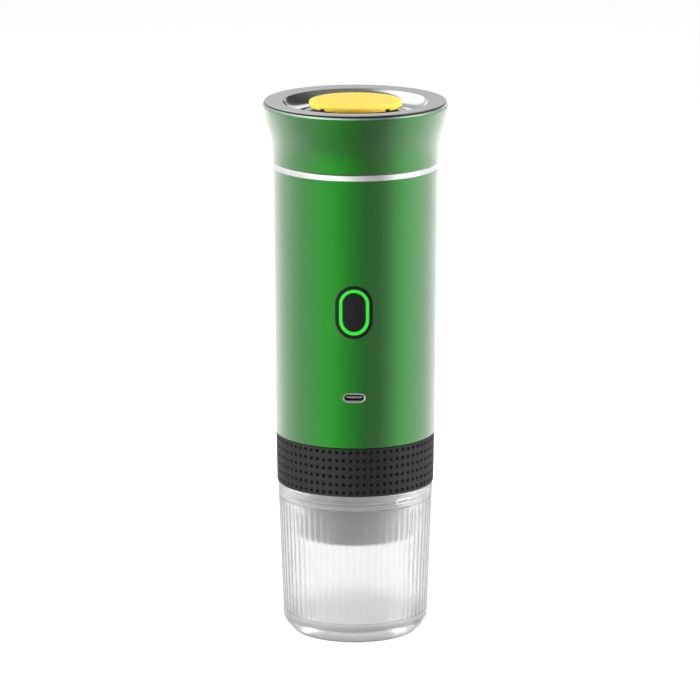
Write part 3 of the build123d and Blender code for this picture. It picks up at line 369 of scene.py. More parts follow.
def ring_piece(name, outline, columns, finishes, look=0):
    """A closed ring turned from an outline."""
    grid, way = turned(outline, columns)
    return build(name, [(grid, way, True, True, look)], finishes)


def oblong(half_width, half_length, count):
    """Outline of an upright oblong with round ends: points (across, up) and outward normals, starting at the
    right and running counter-clockwise, the same count of points on each end's half circle."""
    straight = half_length - half_width
    half = np.linspace(0, math.pi, count)
    turn = np.concatenate([half, half + math.pi])
    normal = np.stack([np.cos(turn), np.sin(turn)], 1)
    point = normal * half_width
    point[:, 1] += np.repeat([straight, -straight], count)
    return point, normal


def tube_reach(level_z):
    """Radius of the tapered tube at a level."""
    tube = bpy.context.scene.espresso_tube
    share = (level_z - tube.low) / (tube.high - tube.low)
    return tube.foot_radius + (tube.head_radius - tube.foot_radius) * share


def cup_reach(level_z):
    """Outer radius of the cup's wall at a level."""
    cup = bpy.context.scene.espresso_cup
    share = (level_z - cup.corner) / (cup.height - cup.corner)
    return cup.waist_radius + (cup.rim_radius - cup.waist_radius) * share


def wrapped(profile, half_width, half_length, centre, count=40, flat=False, face_reach=tube_reach):
    """Profile (inset, stand) carried along an oblong on a round wall: each ring is the oblong moved in by the
    inset, at the stand above the wall's curved face. A flat oblong lies across the wall. Rows follow the
    profile."""
    points, normals = profile
    rows, ways = [], []
    for (inset, stand), (out, lift) in zip(points, normals):
        outline, side = oblong(half_width - inset, half_length - inset, count)
        if flat:
            outline = outline[:, ::-1] * (1, -1)
            side = side[:, ::-1] * (1, -1)
        up = centre + outline[:, 1]
        radius = face_reach(up) + stand
        front = np.sqrt(radius ** 2 - outline[:, 0] ** 2)
        face = np.stack([outline[:, 0] / radius, -front / radius, np.zeros(len(up))], 1)
        along = np.stack([side[:, 0], np.zeros(len(up)), side[:, 1]], 1)
        along = along - face * (along * face).sum(1, keepdims=True)
        rows.append(np.stack([outline[:, 0], -front, up], 1))
        ways.append(-out * along + lift * face)
    grid = np.stack(rows)
    way = np.stack(ways)
    return grid, way / np.linalg.norm(way, axis=2, keepdims=True)


def band(corners, *place, **options):
    """Closed sheet from a section of rounded corners (inset, stand, rounding), wrapped along an oblong."""
    grid, way = wrapped(rounded(corners), *place, **options)
    return grid[:, ::-1], way[:, ::-1], True, True, 0


# Finishes

class Tree:
    """A node tree under construction."""

    def __init__(self, owner):
        owner.use_nodes = True
        self.nodes = owner.node_tree.nodes
        self.links = owner.node_tree.links
        self.nodes.clear()

    def put(self, socket, value):
        """Links a socket to another node's output, or gives it a value of its own."""
        if isinstance(value, bpy.types.NodeSocket):
            self.links.new(value, socket)
        else:
            socket.default_value = value

    def node(self, kind, **values):
        """A node of a kind, with values on its named sockets."""
        node = self.nodes.new(f"ShaderNode{kind}")
        for socket, value in values.items():
            self.put(node.inputs[socket.replace("_", " ")], value)
        return node

    def math(self, operation, *values):
        """Result of one arithmetic node."""
        node = self.node("Math")
        node.operation = operation
        for socket, value in zip(node.inputs, values):
            self.put(socket, value)
        return node.outputs[0]

    def mixed(self, share, first, second):
        """A shader that changes from the first to the second over a share."""
        node = self.node("MixShader")
        for socket, value in zip(node.inputs, (share, first, second)):
            self.put(socket, value)
        return node.outputs[0]

    def ramp(self, value, stops, interpolation="LINEAR"):
        """Colour along a ramp of (place, red, green, blue) stops."""
        node = self.node("ValToRGB", Fac=value)
        node.color_ramp.interpolation = interpolation
        elements = node.color_ramp.elements
        while len(elements) < len(stops):
            elements.new(0.5)
        for element, (spot, *shade) in zip(elements, stops):
            element.position = spot
            element.color = (*shade, 1.0)
        return node.outputs["Color"]


class Recipe(Tree):
    """A finish under construction: a shader, and patterns that drive it."""

    def __init__(self, name, **values):
        self.material = bpy.data.materials.get(name) or bpy.data.materials.new(name)
        super().__init__(self.material)
        self.shader = self.node("BsdfPrincipled", **values)
        self.node("OutputMaterial", Surface=self.shader.outputs[0])
        self.place = self.node("TexCoord").outputs["Object"]

    def polar(self):
        """Coordinates (distance from the axis, angle, level) for patterns that run round a piece."""
        apart = self.node("SeparateXYZ", Vector=self.place).outputs
        across = self.math("MULTIPLY", apart["X"], apart["X"])
        deep = self.math("MULTIPLY", apart["Y"], apart["Y"])
        distance = self.math("SQRT", self.math("ADD", across, deep))
        angle = self.math("ARCTAN2", apart["Y"], apart["X"])
        return self.node("CombineXYZ", X=distance, Y=angle, Z=apart["Z"]).outputs[0]

    def stretched(self, vector, scale):
        """A vector scaled along its three axes."""
        return self.node("Mapping", Vector=vector, Scale=scale).outputs[0]

    def noise(self, scale, detail=3.0, vector=None):
        """Cloudy variation between 0 and 1 at a scale in waves per metre."""
        cloud = self.node("TexNoise", Vector=vector or self.place, Scale=scale, Detail=detail)
        return cloud.outputs["Fac"]

    def cells(self, scale):
        """Distance to the nearest of scattered points, for grain and speckle."""
        return self.node("TexVoronoi", Vector=self.place, Scale=scale).outputs["Distance"]

    def colour(self, value, *stops):
        """Base colour along a ramp of (place, red, green, blue) stops."""
        self.put(self.shader.inputs["Base Color"], self.ramp(value, stops))

    def rough(self, value, low, high):
        """Roughness that wanders between two values."""
        wander = self.node("MapRange", Value=value, To_Min=low, To_Max=high)
        self.put(self.shader.inputs["Roughness"], wander.outputs[0])

    def bump(self, value, height, strength=0.5):
        """Fine relief of a height in metres."""
        relief = self.node("Bump", Height=value, Distance=height, Strength=strength)
        self.put(self.shader.inputs["Normal"], relief.outputs[0])


def shades(colour, spread):
    """A darker and a lighter stop about a colour."""
    dark = [part * (1 - spread) for part in colour]
    light = [min(1.0, part * (1 + spread)) for part in colour]
    return (0.3, *dark), (0.7, *light)


def green_metal():
    """Satin green metal with a fine blasted grain, whose bloom lightens it at the sides."""
    green = bpy.context.scene.espresso_finishes.green
    recipe = Recipe("green_metal", Metallic=1.0, Sheen_Weight=1.0, Sheen_Roughness=0.46)
    grain = recipe.noise(900.0, 4.0)
    recipe.colour(grain, *shades(green, 0.05))
    recipe.rough(recipe.noise(160.0), 0.29, 0.35)
    recipe.bump(grain, 0.004 * MM, 0.25)
    return recipe.material


def polished_steel():
    """Polished bright metal with faint wiping marks."""
    recipe = Recipe("bright_metal", Metallic=1.0)
    marks = recipe.noise(60.0, 5.0, recipe.stretched(recipe.polar(), (10.0, 1.0, 10.0)))
    recipe.colour(marks, (0.3, 0.80, 0.81, 0.81), (0.7, 0.86, 0.87, 0.87))
    recipe.rough(marks, 0.05, 0.11)
    return recipe.material


def satin_silver(name, low, high, light, metallic):
    """Bright metal with fine turning marks round the axis."""
    recipe = Recipe(name, Metallic=metallic)
    marks = recipe.noise(1.0, 2.0, recipe.stretched(recipe.polar(), (9000.0, 3.0, 9000.0)))
    recipe.colour(marks, (0.3, light * 0.94, light * 0.95, light * 0.94), (0.7, light, light, light))
    recipe.rough(marks, low, high)
    recipe.bump(marks, 0.002 * MM, 0.3)
    return recipe.material


def steel():
    """Brushed steel of the inner pieces."""
    recipe = Recipe("steel", Metallic=1.0)
    marks = recipe.noise(1.0, 3.0, recipe.stretched(recipe.polar(), (2500.0, 8.0, 2500.0)))
    recipe.colour(marks, (0.3, 0.50, 0.50, 0.51), (0.7, 0.62, 0.62, 0.62))
    recipe.rough(marks, 0.22, 0.36)
    return recipe.material


def soft(name, colour, grain_scale, grain_height, low, high, spread=0.06, **values):
    """Soft or matt moulded surface with a fine grain."""
    recipe = Recipe(name, **values)
    cloud = recipe.noise(220.0, 4.0)
    recipe.colour(cloud, *shades(colour, spread))
    recipe.rough(cloud, low, high)
    recipe.bump(recipe.cells(grain_scale), grain_height)
    return recipe.material


def metal(name, colour, low, high):
    """Plain metal with a drawn grain."""
    recipe = Recipe(name, Metallic=1.0)
    marks = recipe.noise(1.0, 3.0, recipe.stretched(recipe.place, (1500.0, 1500.0, 60.0)))
    recipe.colour(marks, *shades(colour, 0.08))
    recipe.rough(marks, low, high)
    return recipe.material


def clear_plastic(name, light):
    """Clear moulded plastic with the slight haze of its mould, dimmed to a share of its light. By level,
    painted shade:
    a dark line painted along the foot's lower edge as a contact shadow, and the foot ring, the thick floor
    and the inner floor painted darker than the wall."""
    recipe = Recipe(name, Transmission_Weight=1.0, IOR=1.49)
    cup = bpy.context.scene.espresso_cup
    clear = [part * light for part in bpy.context.scene.espresso_finishes.clear]
    # Painted shade by level: a contact-shadow line at the foot's lower edge, and darker foot ring, floor slab
    # and inner floor
    line, foot, slab, floor = ([part * share for part in clear] for share in (0.1, 0.75, 0.52, 0.70))
    up = recipe.node("SeparateXYZ", Vector=recipe.place).outputs["Z"]
    low, high = cup.floor_low / cup.height, cup.floor_high / cup.height
    recipe.colour(
        recipe.math("DIVIDE", up, cup.height), (0.006, *line), (0.012, *foot), (low * 0.4, *foot),
        (low * 0.95, *clear), (low + 0.018, *slab), (high - 0.014, *slab), (high - 0.003, *floor),
        (high + 0.012, *clear),
    )
    recipe.rough(recipe.noise(90.0), 0.20, 0.27)
    return recipe.material


def light_guide():
    """Clear plastic ring lit from behind."""
    light = bpy.context.scene.espresso_finishes.light
    recipe = Recipe("light_guide", Roughness=0.25, Emission_Color=(*light, 1.0), Emission_Strength=0.8)
    recipe.colour(recipe.noise(400.0), (0.3, 0.01, 0.10, 0.01), (0.7, 0.012, 0.13, 0.012))
    return recipe.material


def circuit_board():
    """Solder mask with copper tracks showing through as lighter lines."""
    recipe = Recipe("board_green")
    spread = recipe.stretched(recipe.place, (1.0, 0.0, 1.6))
    tracks = recipe.node("TexBrick", Vector=spread, Scale=260.0, Mortar_Size=0.08).outputs["Fac"]
    recipe.colour(tracks, (0.2, 0.01, 0.09, 0.03), (0.8, 0.03, 0.20, 0.07))
    recipe.rough(recipe.noise(300.0), 0.28, 0.4)
    recipe.bump(tracks, 0.03 * MM)
    return recipe.material


def cell_wrap():
    """Shrink sleeve of a battery cell, with fine wrinkles."""
    recipe = Recipe("cell_wrap")
    wrinkles = recipe.noise(1.0, 4.0, recipe.stretched(recipe.place, (700.0, 700.0, 120.0)))
    recipe.colour(wrinkles, (0.3, 0.02, 0.07, 0.20), (0.7, 0.04, 0.12, 0.30))
    recipe.rough(wrinkles, 0.25, 0.4)
    recipe.bump(wrinkles, 0.03 * MM)
    return recipe.material


def all_finishes():
    """Every finish by its name, with grain scales in points per metre."""
    colours = bpy.context.scene.espresso_finishes
    return {
        "green_metal": green_metal(),
        # Paler, glossier copy of the green metal for the lid lip's painted highlight
        "green_edge": metal("green_edge", (0.72, 0.86, 0.72), 0.16, 0.26),
        "bright_metal": polished_steel(),
        "satin_silver": satin_silver("satin_silver", 0.16, 0.26, 0.92, 0.82),
        "rim_silver": satin_silver("rim_silver", 0.30, 0.42, 0.78, 1.0),
        "steel": steel(),
        "yellow_silicone": soft(
            "yellow_silicone", colours.yellow, 1800.0, 0.006 * MM, 0.50, 0.60, 0.02,
            Subsurface_Weight=1.0, Subsurface_Radius=(1.0, 0.8, 0.2), Subsurface_Scale=6.0 * MM,
        ),
        "black_plastic": soft("black_plastic", (0.016, 0.016, 0.017), 1400.0, 0.008 * MM, 0.42, 0.55),
        "black_gloss": soft("black_gloss", (0.007, 0.006, 0.007), 900.0, 0.001 * MM, 0.16, 0.24, IOR=1.33),
        "black_rubber": soft("black_rubber", colours.black, 2600.0, 0.010 * MM, 0.42, 0.5),
        "grey_plastic": soft("grey_plastic", colours.grey, 1500.0, 0.006 * MM, 0.38, 0.5, 0.03),
        "pale_plastic": soft("pale_plastic", colours.pale, 1500.0, 0.006 * MM, 0.38, 0.5, 0.03),
        # White for the painted highlight along the cup mark's edge
        "mark_edge_highlight": soft("mark_edge_highlight", (0.80, 0.81, 0.81), 1500.0, 0.003 * MM, 0.3, 0.4, 0.02),
        "tongue_plastic": soft("tongue_plastic", (0.30, 0.25, 0.29), 1500.0, 0.004 * MM, 0.4, 0.5),
        "grey_silicone": soft("grey_silicone", colours.pale, 1600.0, 0.006 * MM, 0.45, 0.6, 0.03),
        "white_silicone": soft("white_silicone", (0.72, 0.72, 0.70), 1600.0, 0.006 * MM, 0.45, 0.6, 0.03),
        "clear_plastic": clear_plastic("clear_plastic", 1.0),
        # Dimmer copy of the clear plastic for the flute ridges: painted shade along the ridges
        "clear_ridge": clear_plastic("clear_ridge", 0.93),
        "light_guide": light_guide(),
        "frame_plastic": soft("frame_plastic", (0.045, 0.045, 0.05), 1200.0, 0.01 * MM, 0.42, 0.58),
        "cell_wrap": cell_wrap(),
        "nickel": metal("nickel", (0.60, 0.58, 0.52), 0.22, 0.36),
        "board_green": circuit_board(),
        "chip_black": soft("chip_black", (0.02, 0.02, 0.022), 3000.0, 0.006 * MM, 0.5, 0.65),
        "light_chip": soft("light_chip", (0.82, 0.80, 0.55), 900.0, 0.003 * MM, 0.2, 0.35),
        "bronze": metal("bronze", (0.45, 0.26, 0.10), 0.3, 0.45),
        "magnet": soft("magnet", (0.06, 0.06, 0.065), 2200.0, 0.02 * MM, 0.6, 0.8),
        "lead_red": soft("lead_red", (0.45, 0.02, 0.02), 900.0, 0.003 * MM, 0.35, 0.5),
        "lead_black": soft("lead_black", (0.015, 0.015, 0.015), 900.0, 0.003 * MM, 0.35, 0.5),
        "heater_film": soft("heater_film", (0.36, 0.17, 0.03), 700.0, 0.01 * MM, 0.25, 0.4),
        "pump_plastic": soft("pump_plastic", (0.60, 0.58, 0.54), 1300.0, 0.008 * MM, 0.4, 0.55),
    }


def finish(name):
    """A finish that has been made already."""
    return bpy.data.materials[name]


# Pieces

class EspressoOperator:
    """What every operator of this file shares."""
    bl_options = {"REGISTER", "UNDO"}


class ESPRESSO_OT_finishes(EspressoOperator, Operator):
    """Make every finish and give it to the carried-over pieces."""
    bl_idname = "espresso.finishes"
    bl_label = "Finishes"

    def execute(self, context):
        made = all_finishes()
        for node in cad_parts.values():
            for holder in node.material_slots:
                holder.material = made[holder.material.name.split(".")[0]]
        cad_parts["chamber_body"].material_slots[0].material = made["pale_plastic"]
        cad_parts["port_tongue"].material_slots[0].material = made["tongue_plastic"]
        return {"FINISHED"}


class ESPRESSO_OT_lid(EspressoOperator, Operator):
    """Build the flared collar and the bright rim with its bowl."""
    bl_idname = "espresso.lid"
    bl_label = "Lid"

    def execute(self, context):
        lid = context.scene.espresso_lid
        self.collar(lid)
        self.rim(lid)
        return {"FINISHED"}

    def collar(self, lid):
        """Straight foot, wide concave arc into a cone, then a lip that turns in under the rim, with a painted
        highlight round its
        upper edge: a band in a paler, glossier copy of the green metal."""
        foot, wide, wall = lid.foot_radius, lid.wide_radius, lid.wall
        edge = lid.top - lid.rim_wall
        shoulder, sweep = lid.low + 6.6 * MM, 34 * MM
        corners = [
            (foot - wall, lid.low, 0.2 * MM),
            (foot, lid.low, 0.3 * MM),
            (foot, shoulder, sweep),
            (wide - 1.20 * MM, edge - 6.6 * MM, 20 * MM),
            (wide + 0.01 * MM, edge - 1.5 * MM, 0.9 * MM),
            (wide - 0.10 * MM, edge - 0.95 * MM, 0.1 * MM),
            (wide - 0.22 * MM, edge - 0.2 * MM, 0.1 * MM),
            (lid.rim_radius, edge, 0.1 * MM),
            (lid.rim_radius - wall, edge, 0.2 * MM),
            (wide - wall, edge - 1.9 * MM, 0.8 * MM),
            (foot - wall, shoulder, sweep),
        ]
        points, normals = rounded(corners)
        # Paler band on the lip's upper edge: a painted highlight in a lighter copy of the green metal
        highlight_band = (points[:, 1] > edge - 0.97 * MM) & (points[:, 0] > lid.rim_radius - 0.1 * MM)
        finishes = [finish("green_metal"), finish("green_edge")]
        piece = ring_piece("lid_collar_shell", (points, normals), COLUMNS, finishes, np.where(highlight_band, 1, 0))
        settle(piece, "lid", "green_metal", "lid_collar")

    def rim(self, lid):
        """Flat satin ring over a groove whose faces take black plastic as a painted shadow, then a polished
        bowl whose wall is an arc that meets the ring at a crisp round edge. A rib under the ring sits inside
        the collar."""
        outer, wall, top = lid.rim_radius, lid.rim_wall, lid.top
        bowl = outer - lid.rim_flat
        foot = top - lid.bowl_depth
        inner = top - lid.rim_dish
        lean = 2.7 * MM
        rib = outer - lid.wall - 0.1 * MM
        rib_back, rib_low = rib - 0.8 * MM, top - wall - 2.0 * MM
        groove_back, groove_top = outer - 0.3 * MM, top - 0.35 * MM
        corners = [
            (lid.bowl_hole, foot - wall, 0.25 * MM),
            (bowl - lean + 0.5 * MM, foot - wall, 9.9 * MM),
            (bowl + wall, inner - wall, 0.3 * MM),
            (rib_back, top - wall, 0.1 * MM),
            (rib_back, rib_low, 0.2 * MM),
            (rib, rib_low, 0.2 * MM),
            (rib, top - wall, 0.1 * MM),
            (groove_back, top - wall, 0.05 * MM),
            (groove_back, groove_top, 0.05 * MM),
            (outer, groove_top, 0.08 * MM),
            (outer, top, 0.25 * MM),
            (bowl, inner, 0.35 * MM),
            (bowl - lean, foot, 9.2 * MM),
            (lid.bowl_hole, foot, 0.3 * MM),
        ]
        points, normals = rounded(corners)
        fallen = top - lid.rim_dish * (outer - points[:, 0]) / lid.rim_flat
        ring = (points[:, 0] > bowl - 0.05 * MM) & (points[:, 1] > fallen - 0.33 * MM)
        # Faces of the groove take black plastic: a painted shadow under the ring's edge
        painted_shadow_groove = (points[:, 0] > rib + 0.2 * MM) & (points[:, 1] < groove_top + 0.01 * MM)
        finishes = [finish("bright_metal"), finish("rim_silver"), finish("black_plastic")]
        piece = ring_piece("lid_rim_bowl", (points, normals), COLUMNS, finishes, np.where(painted_shadow_groove, 2, ring))
        settle(piece, "lid", "bright_metal", "lid_rim")


class ESPRESSO_OT_vent_cap(EspressoOperator, Operator):
    """Build the soft yellow vent cap with its notches."""
    bl_idname = "espresso.vent_cap"
    bl_label = "Vent cap"

    def execute(self, context):
        sheet = self.surface(context.scene.espresso_vent)
        # Black plastic is the painted shade in the cap's notches
        piece = build("vent_cap_soft", [sheet], [finish("yellow_silicone"), finish("black_plastic")])
        settle(piece, "vent_button", "yellow_silicone", "vent_cap")
        return {"FINISHED"}

    def surface(self, vent):
        """Disc with a round upper edge and a faint dome, turned from pole to pole. Where the angle lies in a
        notch and the level below its top, the edge moves in by the notch's depth, eased over a short step,
        and the notch's faces take black plastic as painted shade."""
        low, top, radius, edge = vent.low, vent.top, vent.radius, vent.edge
        notch_top = low + vent.notch_height
        dome, foot_rise, foot_turn = 0.12 * MM, 0.12 * MM, 0.25 * MM
        turn = np.linspace(0, math.pi / 2, 9)
        under = np.linspace(0, 1, 6) * (radius - foot_turn)
        step = notch_top + np.linspace(-0.12, 0.12, 7) * MM
        side = np.concatenate([[low + foot_rise, low + 0.4 * MM], step])
        crown = np.linspace(1, 0, 16)[1:]
        across = np.concatenate([
            under, radius - foot_turn * (1 - np.sin(turn[1:])), np.full(len(side), radius),
            radius - edge + edge * np.cos(turn), crown * (radius - edge),
        ])
        up = np.concatenate([
            np.full(len(under), low), low + foot_rise * (1 - np.cos(turn[1:])), side,
            top - edge + edge * np.sin(turn) - dome, top - dome * crown ** 2,
        ])
        apart = 2 * math.pi / vent.notches
        half = vent.notch_width / 2 / radius
        near, beside = 0.65, 1.35  # Shares of half a notch between which its wall has fine columns
        wall = np.linspace(near, beside, 8)
        fine = np.concatenate([-wall[::-1], np.linspace(-0.5, 0.5, 5), wall]) * half
        coarse = np.linspace(beside * half, apart - beside * half, 44)[1:-1]
        each = np.concatenate([fine, coarse])
        angle = (each + np.arange(vent.notches)[:, None] * apart).ravel() + math.pi / 4
        away = np.abs(np.tile(each, vent.notches))
        away = np.minimum(away, apart - away)
        inside = 1 - eased(away, 0.8 * half, 1.2 * half)
        beneath = 1 - eased(up, notch_top - 0.1 * MM, notch_top + 0.1 * MM)
        at_edge = eased(across, radius - 1.6 * MM, radius - 0.9 * MM)
        sunk = inside * (beneath * at_edge)[:, None]
        grid = placed(across[:, None] - vent.notch_depth * sunk, angle, up)
        # Notch faces take black plastic: painted shade in the notches
        return grid, pole_slopes(grid), False, True, np.where(sunk > 0.5, 1, 0)


class ESPRESSO_OT_vent_spring(EspressoOperator, Operator):
    """Build the wire spring under the vent cap."""
    bl_idname = "espresso.vent_spring"
    bl_label = "Vent spring"

    def execute(self, context):
        vent = context.scene.espresso_vent
        low, high = level("vent_spring", 0), level("vent_spring", 1)
        piece = build("vent_spring_coil", [self.surface(vent, low, high)], [finish("steel")])
        settle(piece, "lid", "steel", "vent_spring")
        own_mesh(piece)
        return {"FINISHED"}

    def surface(self, vent, low, high):
        """Round wire along a helix: a ring of points about each point of the helix, level with the axis, and
        rings that close to a point over a half ball at both ends."""
        turn_points, ring_points = 48, 16
        wire = vent.spring_wire / 2
        radius = reach("vent_spring") - wire
        ball = np.linspace(0, math.pi / 2, 6)[:-1]
        run = np.linspace(0, 1, int(vent.spring_turns * turn_points) + 1)
        way = np.concatenate([np.zeros(len(ball)), run, np.ones(len(ball))])
        past = np.concatenate([-np.cos(ball), np.zeros(len(run)), np.cos(ball[::-1])]) * wire
        thick = np.concatenate([np.sin(ball), np.ones(len(run)), np.sin(ball[::-1])])[:, None, None]
        turn = way * vent.spring_turns * 2 * math.pi + past / radius
        up = low + wire + (high - low - 2 * wire) * way
        around = -np.linspace(0, 2 * math.pi, ring_points, endpoint=False)[:, None]
        none = np.zeros(len(turn))
        out = np.stack([np.cos(turn), np.sin(turn), none], 1)[:, None]
        along = np.stack([-np.sin(turn), np.cos(turn), none], 1)[:, None]
        section = np.cos(around) * out + np.sin(around) * np.array([0, 0, 1.0])
        grid = out * radius + thick * wire * section
        grid[..., 2] += up[:, None]
        normal = thick * section + (past / wire)[:, None, None] * along
        return grid, normal, False, True, 0


class ESPRESSO_OT_trim_ring(EspressoOperator, Operator):
    """Build the bright trim ring between lid and tube."""
    bl_idname = "espresso.trim_ring"
    bl_label = "Trim ring"

    def execute(self, context):
        tube = context.scene.espresso_tube
        skirt = tube_reach(tube.trim_low) - tube.wall - 0.1 * MM
        corners = [
            (tube.trim_bore, tube.high, 0.2 * MM),
            (skirt - tube.trim_skirt, tube.high, 0.2 * MM),
            (skirt - tube.trim_skirt, tube.trim_low, 0.3 * MM),
            (skirt, tube.trim_low, 0.3 * MM),
            (skirt, tube.high, 0.2 * MM),
            (tube.head_radius, tube.high, 0.12 * MM),
            (tube.head_radius, tube.trim_high, 0.25 * MM),
            (tube.trim_bore, tube.trim_high, 0.3 * MM),
        ]
        piece = ring_piece("trim_ring_bright", rounded(corners), COLUMNS, [finish("satin_silver")])
        settle(piece, "main_body", "satin_silver", "trim_ring")
        return {"FINISHED"}


class ESPRESSO_OT_power_button(EspressoOperator, Operator):
    """Build the button, its light ring and its frame on the tube's curved face."""
    bl_idname = "espresso.power_button"
    bl_label = "Power button"

    def execute(self, context):
        button = context.scene.espresso_button
        half_width, half_length = button.width / 2, button.length / 2
        edge, inner = button.frame_wall, button.frame_wall + button.light_width
        flange, flange_face = -1.4 * MM, -3.3 * MM
        back, seat = -5.2 * MM, -4.0 * MM
        face, light_face = 0.15 * MM, 0.06 * MM
        light_edge = edge + 0.05 * MM
        frame_corners = [
            (flange, back, 0.2 * MM),
            (inner, back, 0.2 * MM),
            (inner, seat, 0.2 * MM),
            (edge, seat, 0.1 * MM),
            (edge, face, 0.2 * MM),
            (0, face, 0.3 * MM),
            (0, flange_face, 0.1 * MM),
            (flange, flange_face, 0.2 * MM),
        ]
        light_corners = [
            (light_edge, seat, 0.1 * MM),
            (inner, seat, 0.1 * MM),
            (inner, light_face, 0.35 * MM),
            (light_edge, light_face, 0.35 * MM),
        ]
        for name, corners, look, node in (
            ("button_frame", frame_corners, "black_gloss", "button_bezel"),
            ("button_light", light_corners, "light_guide", "led_ring"),
        ):
            sheet = band(corners, half_width, half_length, button.centre)
            settle(build(name, [sheet], [finish(look)]), "main_body", look, node)
        inset = inner + 0.2 * MM
        self.cap(button, half_width - inset, half_length - inset)
        return {"FINISHED"}

    def cap(self, button, half_width, half_length):
        """Button with a round edge and a faint dish, its rings drawn in to the oblong's middle line front and
        back, and a round post behind it that rests on the switch."""
        corners = [
            (half_width, -3.0 * MM, 0),
            (0, -3.0 * MM, 0.3 * MM),
            (0, 0.2 * MM, 0.45 * MM),
            (1.4 * MM, 0.12 * MM, 2.0 * MM),
            (half_width, 0.02 * MM, 0),
        ]
        points, normals = rounded(corners, closed=False)
        grid, way = wrapped((points, -normals), half_width, half_length, button.centre)
        front = tube_reach(button.centre) - 2.5 * MM
        tip = -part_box("power_button")[1].y
        bar = 1.7 * MM
        bar_corners = [(0, tip, 0), (bar, tip, 0.3 * MM), (bar, front, 0.1 * MM), (0, front, 0)]
        post, post_way = turned(rounded(bar_corners, closed=False), 32)
        turn = np.array([[1, 0, 0], [0, 0, 1], [0, -1, 0]])
        sheets = [
            (grid, way, False, True, 0),
            (post @ turn + (0, 0, button.centre), post_way @ turn, False, True, 0),
        ]
        piece = build("button_cap", sheets, [finish("black_gloss")])
        settle(piece, "switch_button", "black_gloss", "power_button")


class ESPRESSO_OT_port_edge(EspressoOperator, Operator):
    """Build the bare metal edge of the charging slot."""
    bl_idname = "espresso.port_edge"
    bl_label = "Port edge"

    def execute(self, context):
        button = context.scene.espresso_button
        corners = [
            (-0.04 * MM, -0.62 * MM, 0.04 * MM),
            (0.34 * MM, -0.62 * MM, 0.04 * MM),
            (0.34 * MM, -0.45 * MM, 0.06 * MM),
            (-0.04 * MM, -0.30 * MM, 0.06 * MM),
        ]
        sheet = band(corners, button.port_tall / 2, button.port_width / 2, button.port_centre, 24, flat=True)
        settle(build("port_slot_edge", [sheet], [finish("satin_silver")]), "main_body", "satin_silver")
        return {"FINISHED"}


class ESPRESSO_OT_grip(EspressoOperator, Operator):
    """Build the rubber grip with its rows of dimples."""
    bl_idname = "espresso.grip"
    bl_label = "Grip"

    def execute(self, context):
        sheet = self.surface(context.scene.espresso_grip)
        piece = build("grip_rubber", [sheet], [finish("black_rubber")])
        settle(piece, "brew_chamber", "black_rubber", "grip_ring")
        return {"FINISHED"}

    def surface(self, grip):
        """Tapered ring whose outer face sinks by depth * (1 - (d / radius)^3) at distance d from the
        middle of each dimple. The grid is denser across the dimples than between them."""
        tall = grip.high - grip.low
        step = 2 * math.pi / grip.columns
        cell = np.array([-1.05, -0.98, -0.85, -0.6, -0.25, 0.25, 0.6, 0.85, 0.98, 1.05]) * grip.dimple_radius
        middles = grip.low + tall / grip.rows * (np.arange(grip.rows) + 0.5)
        levels = (middles[:, None] + cell).ravel()
        each = np.concatenate([cell / grip.head_radius, [step / 2]])
        angle = (np.arange(grip.columns)[:, None] * step + each).ravel() + step / 2
        away_up = np.tile(cell, grip.rows)
        away_side = np.tile(each, grip.columns) * grip.head_radius
        far = (away_up[:, None] ** 2 + away_side ** 2) / grip.dimple_radius ** 2
        sunk = grip.dimple_depth * np.clip(1 - far ** 1.5, 0, 1)
        face = grip.foot_radius + (grip.head_radius - grip.foot_radius) * (levels - grip.low) / tall
        lower = self.edge(grip.bore, grip.foot_radius, grip.low, 1)
        higher = self.edge(grip.bore, grip.head_radius, grip.high, -1)[::-1]
        radius = np.concatenate([lower[:, 0], face, higher[:, 0]])
        up = np.concatenate([lower[:, 1], levels, higher[:, 1]])
        sunk = np.pad(sunk, ((len(lower), len(higher)), (0, 0)))
        grid = placed(radius[:, None] - sunk, angle - math.pi / 2, up)
        return grid, slopes(grid, True, True), True, True, 0

    def edge(self, bore, radius, level_z, way):
        """Points from the bore out to the face over a round corner, way 1 at the foot and -1 at the head."""
        turn = 0.35 * MM
        arc = np.linspace(0, math.pi / 2, 6)
        corner = np.stack([radius - turn + turn * np.sin(arc), level_z + way * turn * (1 - np.cos(arc))], 1)
        inner = np.array([
            [bore, level_z + way * 0.6 * MM], [bore, level_z + way * 0.2 * MM],
            [bore + 0.06 * MM, level_z + way * 0.06 * MM], [bore + 0.2 * MM, level_z],
            [bore + 0.5 * MM, level_z], [radius - turn - 0.1 * MM, level_z],
        ])
        return np.concatenate([inner, corner])


